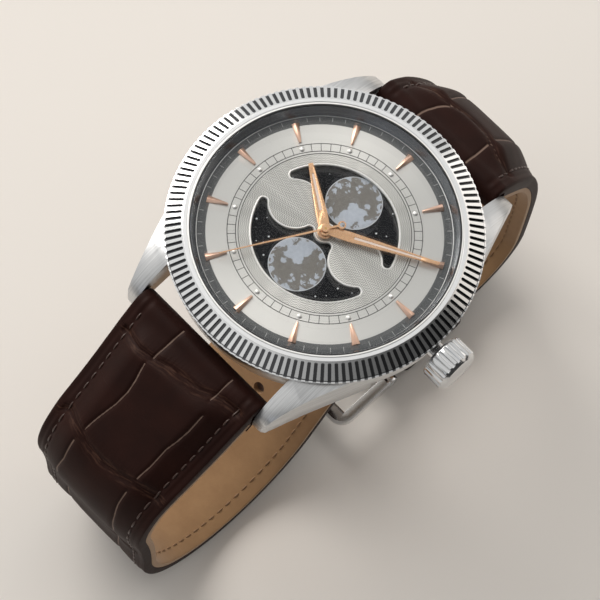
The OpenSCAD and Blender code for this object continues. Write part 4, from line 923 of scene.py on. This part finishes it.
# two rows of saddle stitches, on the leather or under the lining
def stitchRows(key, name, first, last, body, under=False):
    half = halves[key]
    shapes = []
    for sign in (-1, 1):
        s = first
        while s + stitch["pitch"] < last:
            ring = []
            for i in range(stitch["parts"]):
                t = i / (stitch["parts"] - 1)
                u = s + stitch["long"] * t
                w = halfWidth(half, u)
                x = sign * (w - strap["stitchIn"])
                rise = stitch["rise"] * math.sin(math.pi * t) ** 0.6 - stitch["sunk"]
                if under:
                    off = -strap["lining"] - rise
                else:
                    off = float(leatherTop(key, np.array([u]), np.array([x]), np.array([w]))[0][0]) + rise
                r = stitch["radius"] * (0.55 + 0.45 * math.sin(math.pi * t) ** 0.5)
                for k in range(stitch["around"]):
                    a = 2 * math.pi * k / stitch["around"]
                    ring.append(strapPoint(half, u, off + r * math.sin(a), x + r * math.cos(a)))
            shapes.append((ring, tubeFaces(stitch["parts"], stitch["around"])))
            s += stitch["pitch"]
    makePiece(name, *joinShapes(shapes), tanThread if under else thread, body, "lining" if under else "leather",
              sharp=80)


stitchRows("12", "strapTwelveStitches", 0.4, len12 - 5, "strap_12")
stitchRows("6", "strapSixStitches", 0.4, len6 - 9, "strap_6")
stitchRows("12", "liningTwelveStitches", 5.0, len12 - 5, "strap_12", under=True)
stitchRows("6", "liningSixStitches", 5.0, len6 - 9, "strap_6", under=True)


# leather folded round the buckle's bar, in two parts beside the tongue's slot
def buckleLoop():
    fold = {"bar": 1.2, "radius": 1.5, "slot": 1.55, "edge": 9.98, "soft": 0.18, "thick": 1.6}
    outline = [(-2.0, 0.02), (-2.0, 1.48), (-0.6, 1.5)]
    for a in range(90, -91, -12):
        a = math.radians(a)
        outline.append((fold["bar"] + fold["radius"] * math.cos(a), fold["radius"] * math.sin(a)))
    outline += [(-1.5, -1.5), (-4.6, -1.12), (-4.6, -0.92), (-1.98, -0.92), (-1.98, -0.02)]
    shapes = []
    for x0, x1 in ((-fold["edge"], -fold["slot"]), (fold["slot"], fold["edge"])):
        points = []
        for x, less in ((x0, fold["soft"]), (x0 + fold["soft"], 0.0), (x1 - fold["soft"], 0.0), (x1, fold["soft"])):
            k = 1 - less / fold["thick"]  # the sides are rounded off
            for u, off in outline:
                points.append(strapPoint(halves["12"], len12 + fold["bar"] + (u - fold["bar"]) * k, off * k, x))
        shapes.append((points, tubeFaces(4, len(outline))))
    obj = makePiece("buckleLoop", *joinShapes(shapes), leather, "strap_12", "leather", sharp=40)
    plainLeather(obj)


buckleLoop()


# a keeper: a leather loop with rounded corners and edges
def keeper(node, name, body):
    size = {"thick": 1.1, "corner": 1.5, "bends": 8, "runs": 12}
    low, high = (Vector(v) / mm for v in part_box(node))
    thick, corner, bends, runs = size.values()
    cy, edge = (low.y + high.y) / 2, (high.y - low.y) / 2
    right, left, upper, lower = high.x - corner, low.x + corner, high.z - corner, low.z + corner
    path = []
    for cx, cz, a0 in ((right, upper, 0), (left, upper, 90), (left, lower, 180), (right, lower, 270)):
        for i in range(bends + 1):
            a = math.radians(a0 + i * 90 / bends)
            path.append((cx, cz, math.cos(a), math.sin(a)))
    full = []
    for i, p in enumerate(path):
        full.append(p)
        q = path[(i + 1) % len(path)]
        if i % (bends + 1) == bends:
            for k in range(1, runs):
                t = k / runs
                full.append((p[0] + (q[0] - p[0]) * t, p[1] + (q[1] - p[1]) * t, p[2], p[3]))
    # section of the strip, from one edge over the rounded top to the other and back along the inside
    section = [(-edge + 0.08, 0.12), (-edge, 0.45), (-edge + 0.1, 0.85), (-edge + 0.4, 1.03), (-edge / 2, thick),
               (0, thick), (edge / 2, thick), (edge - 0.4, 1.03), (edge - 0.1, 0.85), (edge, 0.45),
               (edge - 0.08, 0.12), (edge - 0.35, 0.0), (-edge + 0.35, 0.0)]
    points = []
    for cx, cz, c, s in full:
        for dy, d in section:
            r = corner - thick + d
            points.append((cx + r * c, cy + dy, cz + r * s))
    obj = makePiece(name, points, tubeFaces(len(full), len(section), closed=True), leather, body, "leather", sharp=50)
    plainLeather(obj)
    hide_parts(node)


keeper("fixed_keeper", "fixedKeeper", "strap_12")
keeper("sliding_keeper", "slidingKeeper", "keeper")
print("keepers and stitches made")


def studio():
    view = {"lens": 145.466, "sensor": 36, "at": (0.07463, -0.10192, 0.29640), "turn": (21.68751, -3.52298, 45.79890)}
    floorMesh = bpy.data.meshes.new("floor")
    z = min(cadLow.z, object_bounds()[0].z) - 0.05 * mm
    floorMesh.from_pydata([(-2, -2, z), (2, -2, z), (2, 2, z), (-2, 2, z)], [], [(0, 1, 2, 3)])
    floor = addObject("floor", floorMesh)
    # studio paper: matt, pale and slightly warm
    floorMesh.materials.append(newMaterial("studioPaper", colour="#E9E4DE", roughness=0.85)[0])
    world = bpy.data.worlds.new("softRoom")
    bpy.context.scene.world = world
    world.use_nodes = True
    tree = world.node_tree
    background = tree.nodes["Background"]
    add = partial(addNode, tree, background)
    ray = add("TexCoord").outputs["Generated"]
    side = add("VectorMath", {0: ray, 1: (-0.8, 0.1, 0.6)}, operation="DOT_PRODUCT")
    add("MapRange", {"Value": side, "From Min": 0.0, "From Max": 0.5, "To Min": 0.06, "To Max": 0.84},
        feeds="Strength")
    background.inputs["Color"].default_value = linearColour("#F8F7F5")
    # the camera alone sees a pale wall behind the paper
    wall = add("Background", {"Color": "#E4DED6", "Strength": 1.0})
    seen = add("LightPath").outputs["Is Camera Ray"]
    mixed = add("MixShader", {0: seen, 1: background, 2: wall})
    tree.links.new(mixed.outputs[0], tree.nodes["World Output"].inputs["Surface"])
    lamps = [
        {"name": "keySoftbox", "at": (-0.52, 0.06, 0.42), "size": (0.4, 0.45), "power": 2.9, "colour": "#FFFAF4"},
        {"name": "backStrip", "at": (0.25, 0.6, 0.35), "size": (0.8, 0.4), "power": 0.8, "colour": "#FFF6EC"},
        {"name": "lowFill", "at": (0.15, -0.6, 0.2), "size": (0.4, 0.2), "power": 0.12, "colour": "#EEF3FF"},
    ]
    for lamp in lamps:
        data = bpy.data.lights.new(lamp["name"], "AREA")
        data.shape = "RECTANGLE"
        data.size, data.size_y = lamp["size"]
        data.energy = lamp["power"]
        data.color = linearColour(lamp["colour"])[:3]
        obj = addObject(lamp["name"], data)
        obj.location = lamp["at"]
        obj.rotation_euler = (-Vector(lamp["at"])).to_track_quat("-Z", "Y").to_euler()
    data = bpy.data.cameras.new("camera")
    data.sensor_width = view["sensor"]
    data.lens = view["lens"]
    data.clip_start, data.clip_end = 0.01, 10
    camera = addObject("camera", data)
    camera.location = view["at"]
    camera.rotation_euler = [math.radians(a) for a in view["turn"]]
    bpy.context.scene.camera = camera
    bpy.context.scene.view_settings.view_transform = "Standard"


studio()
print("studio ready")
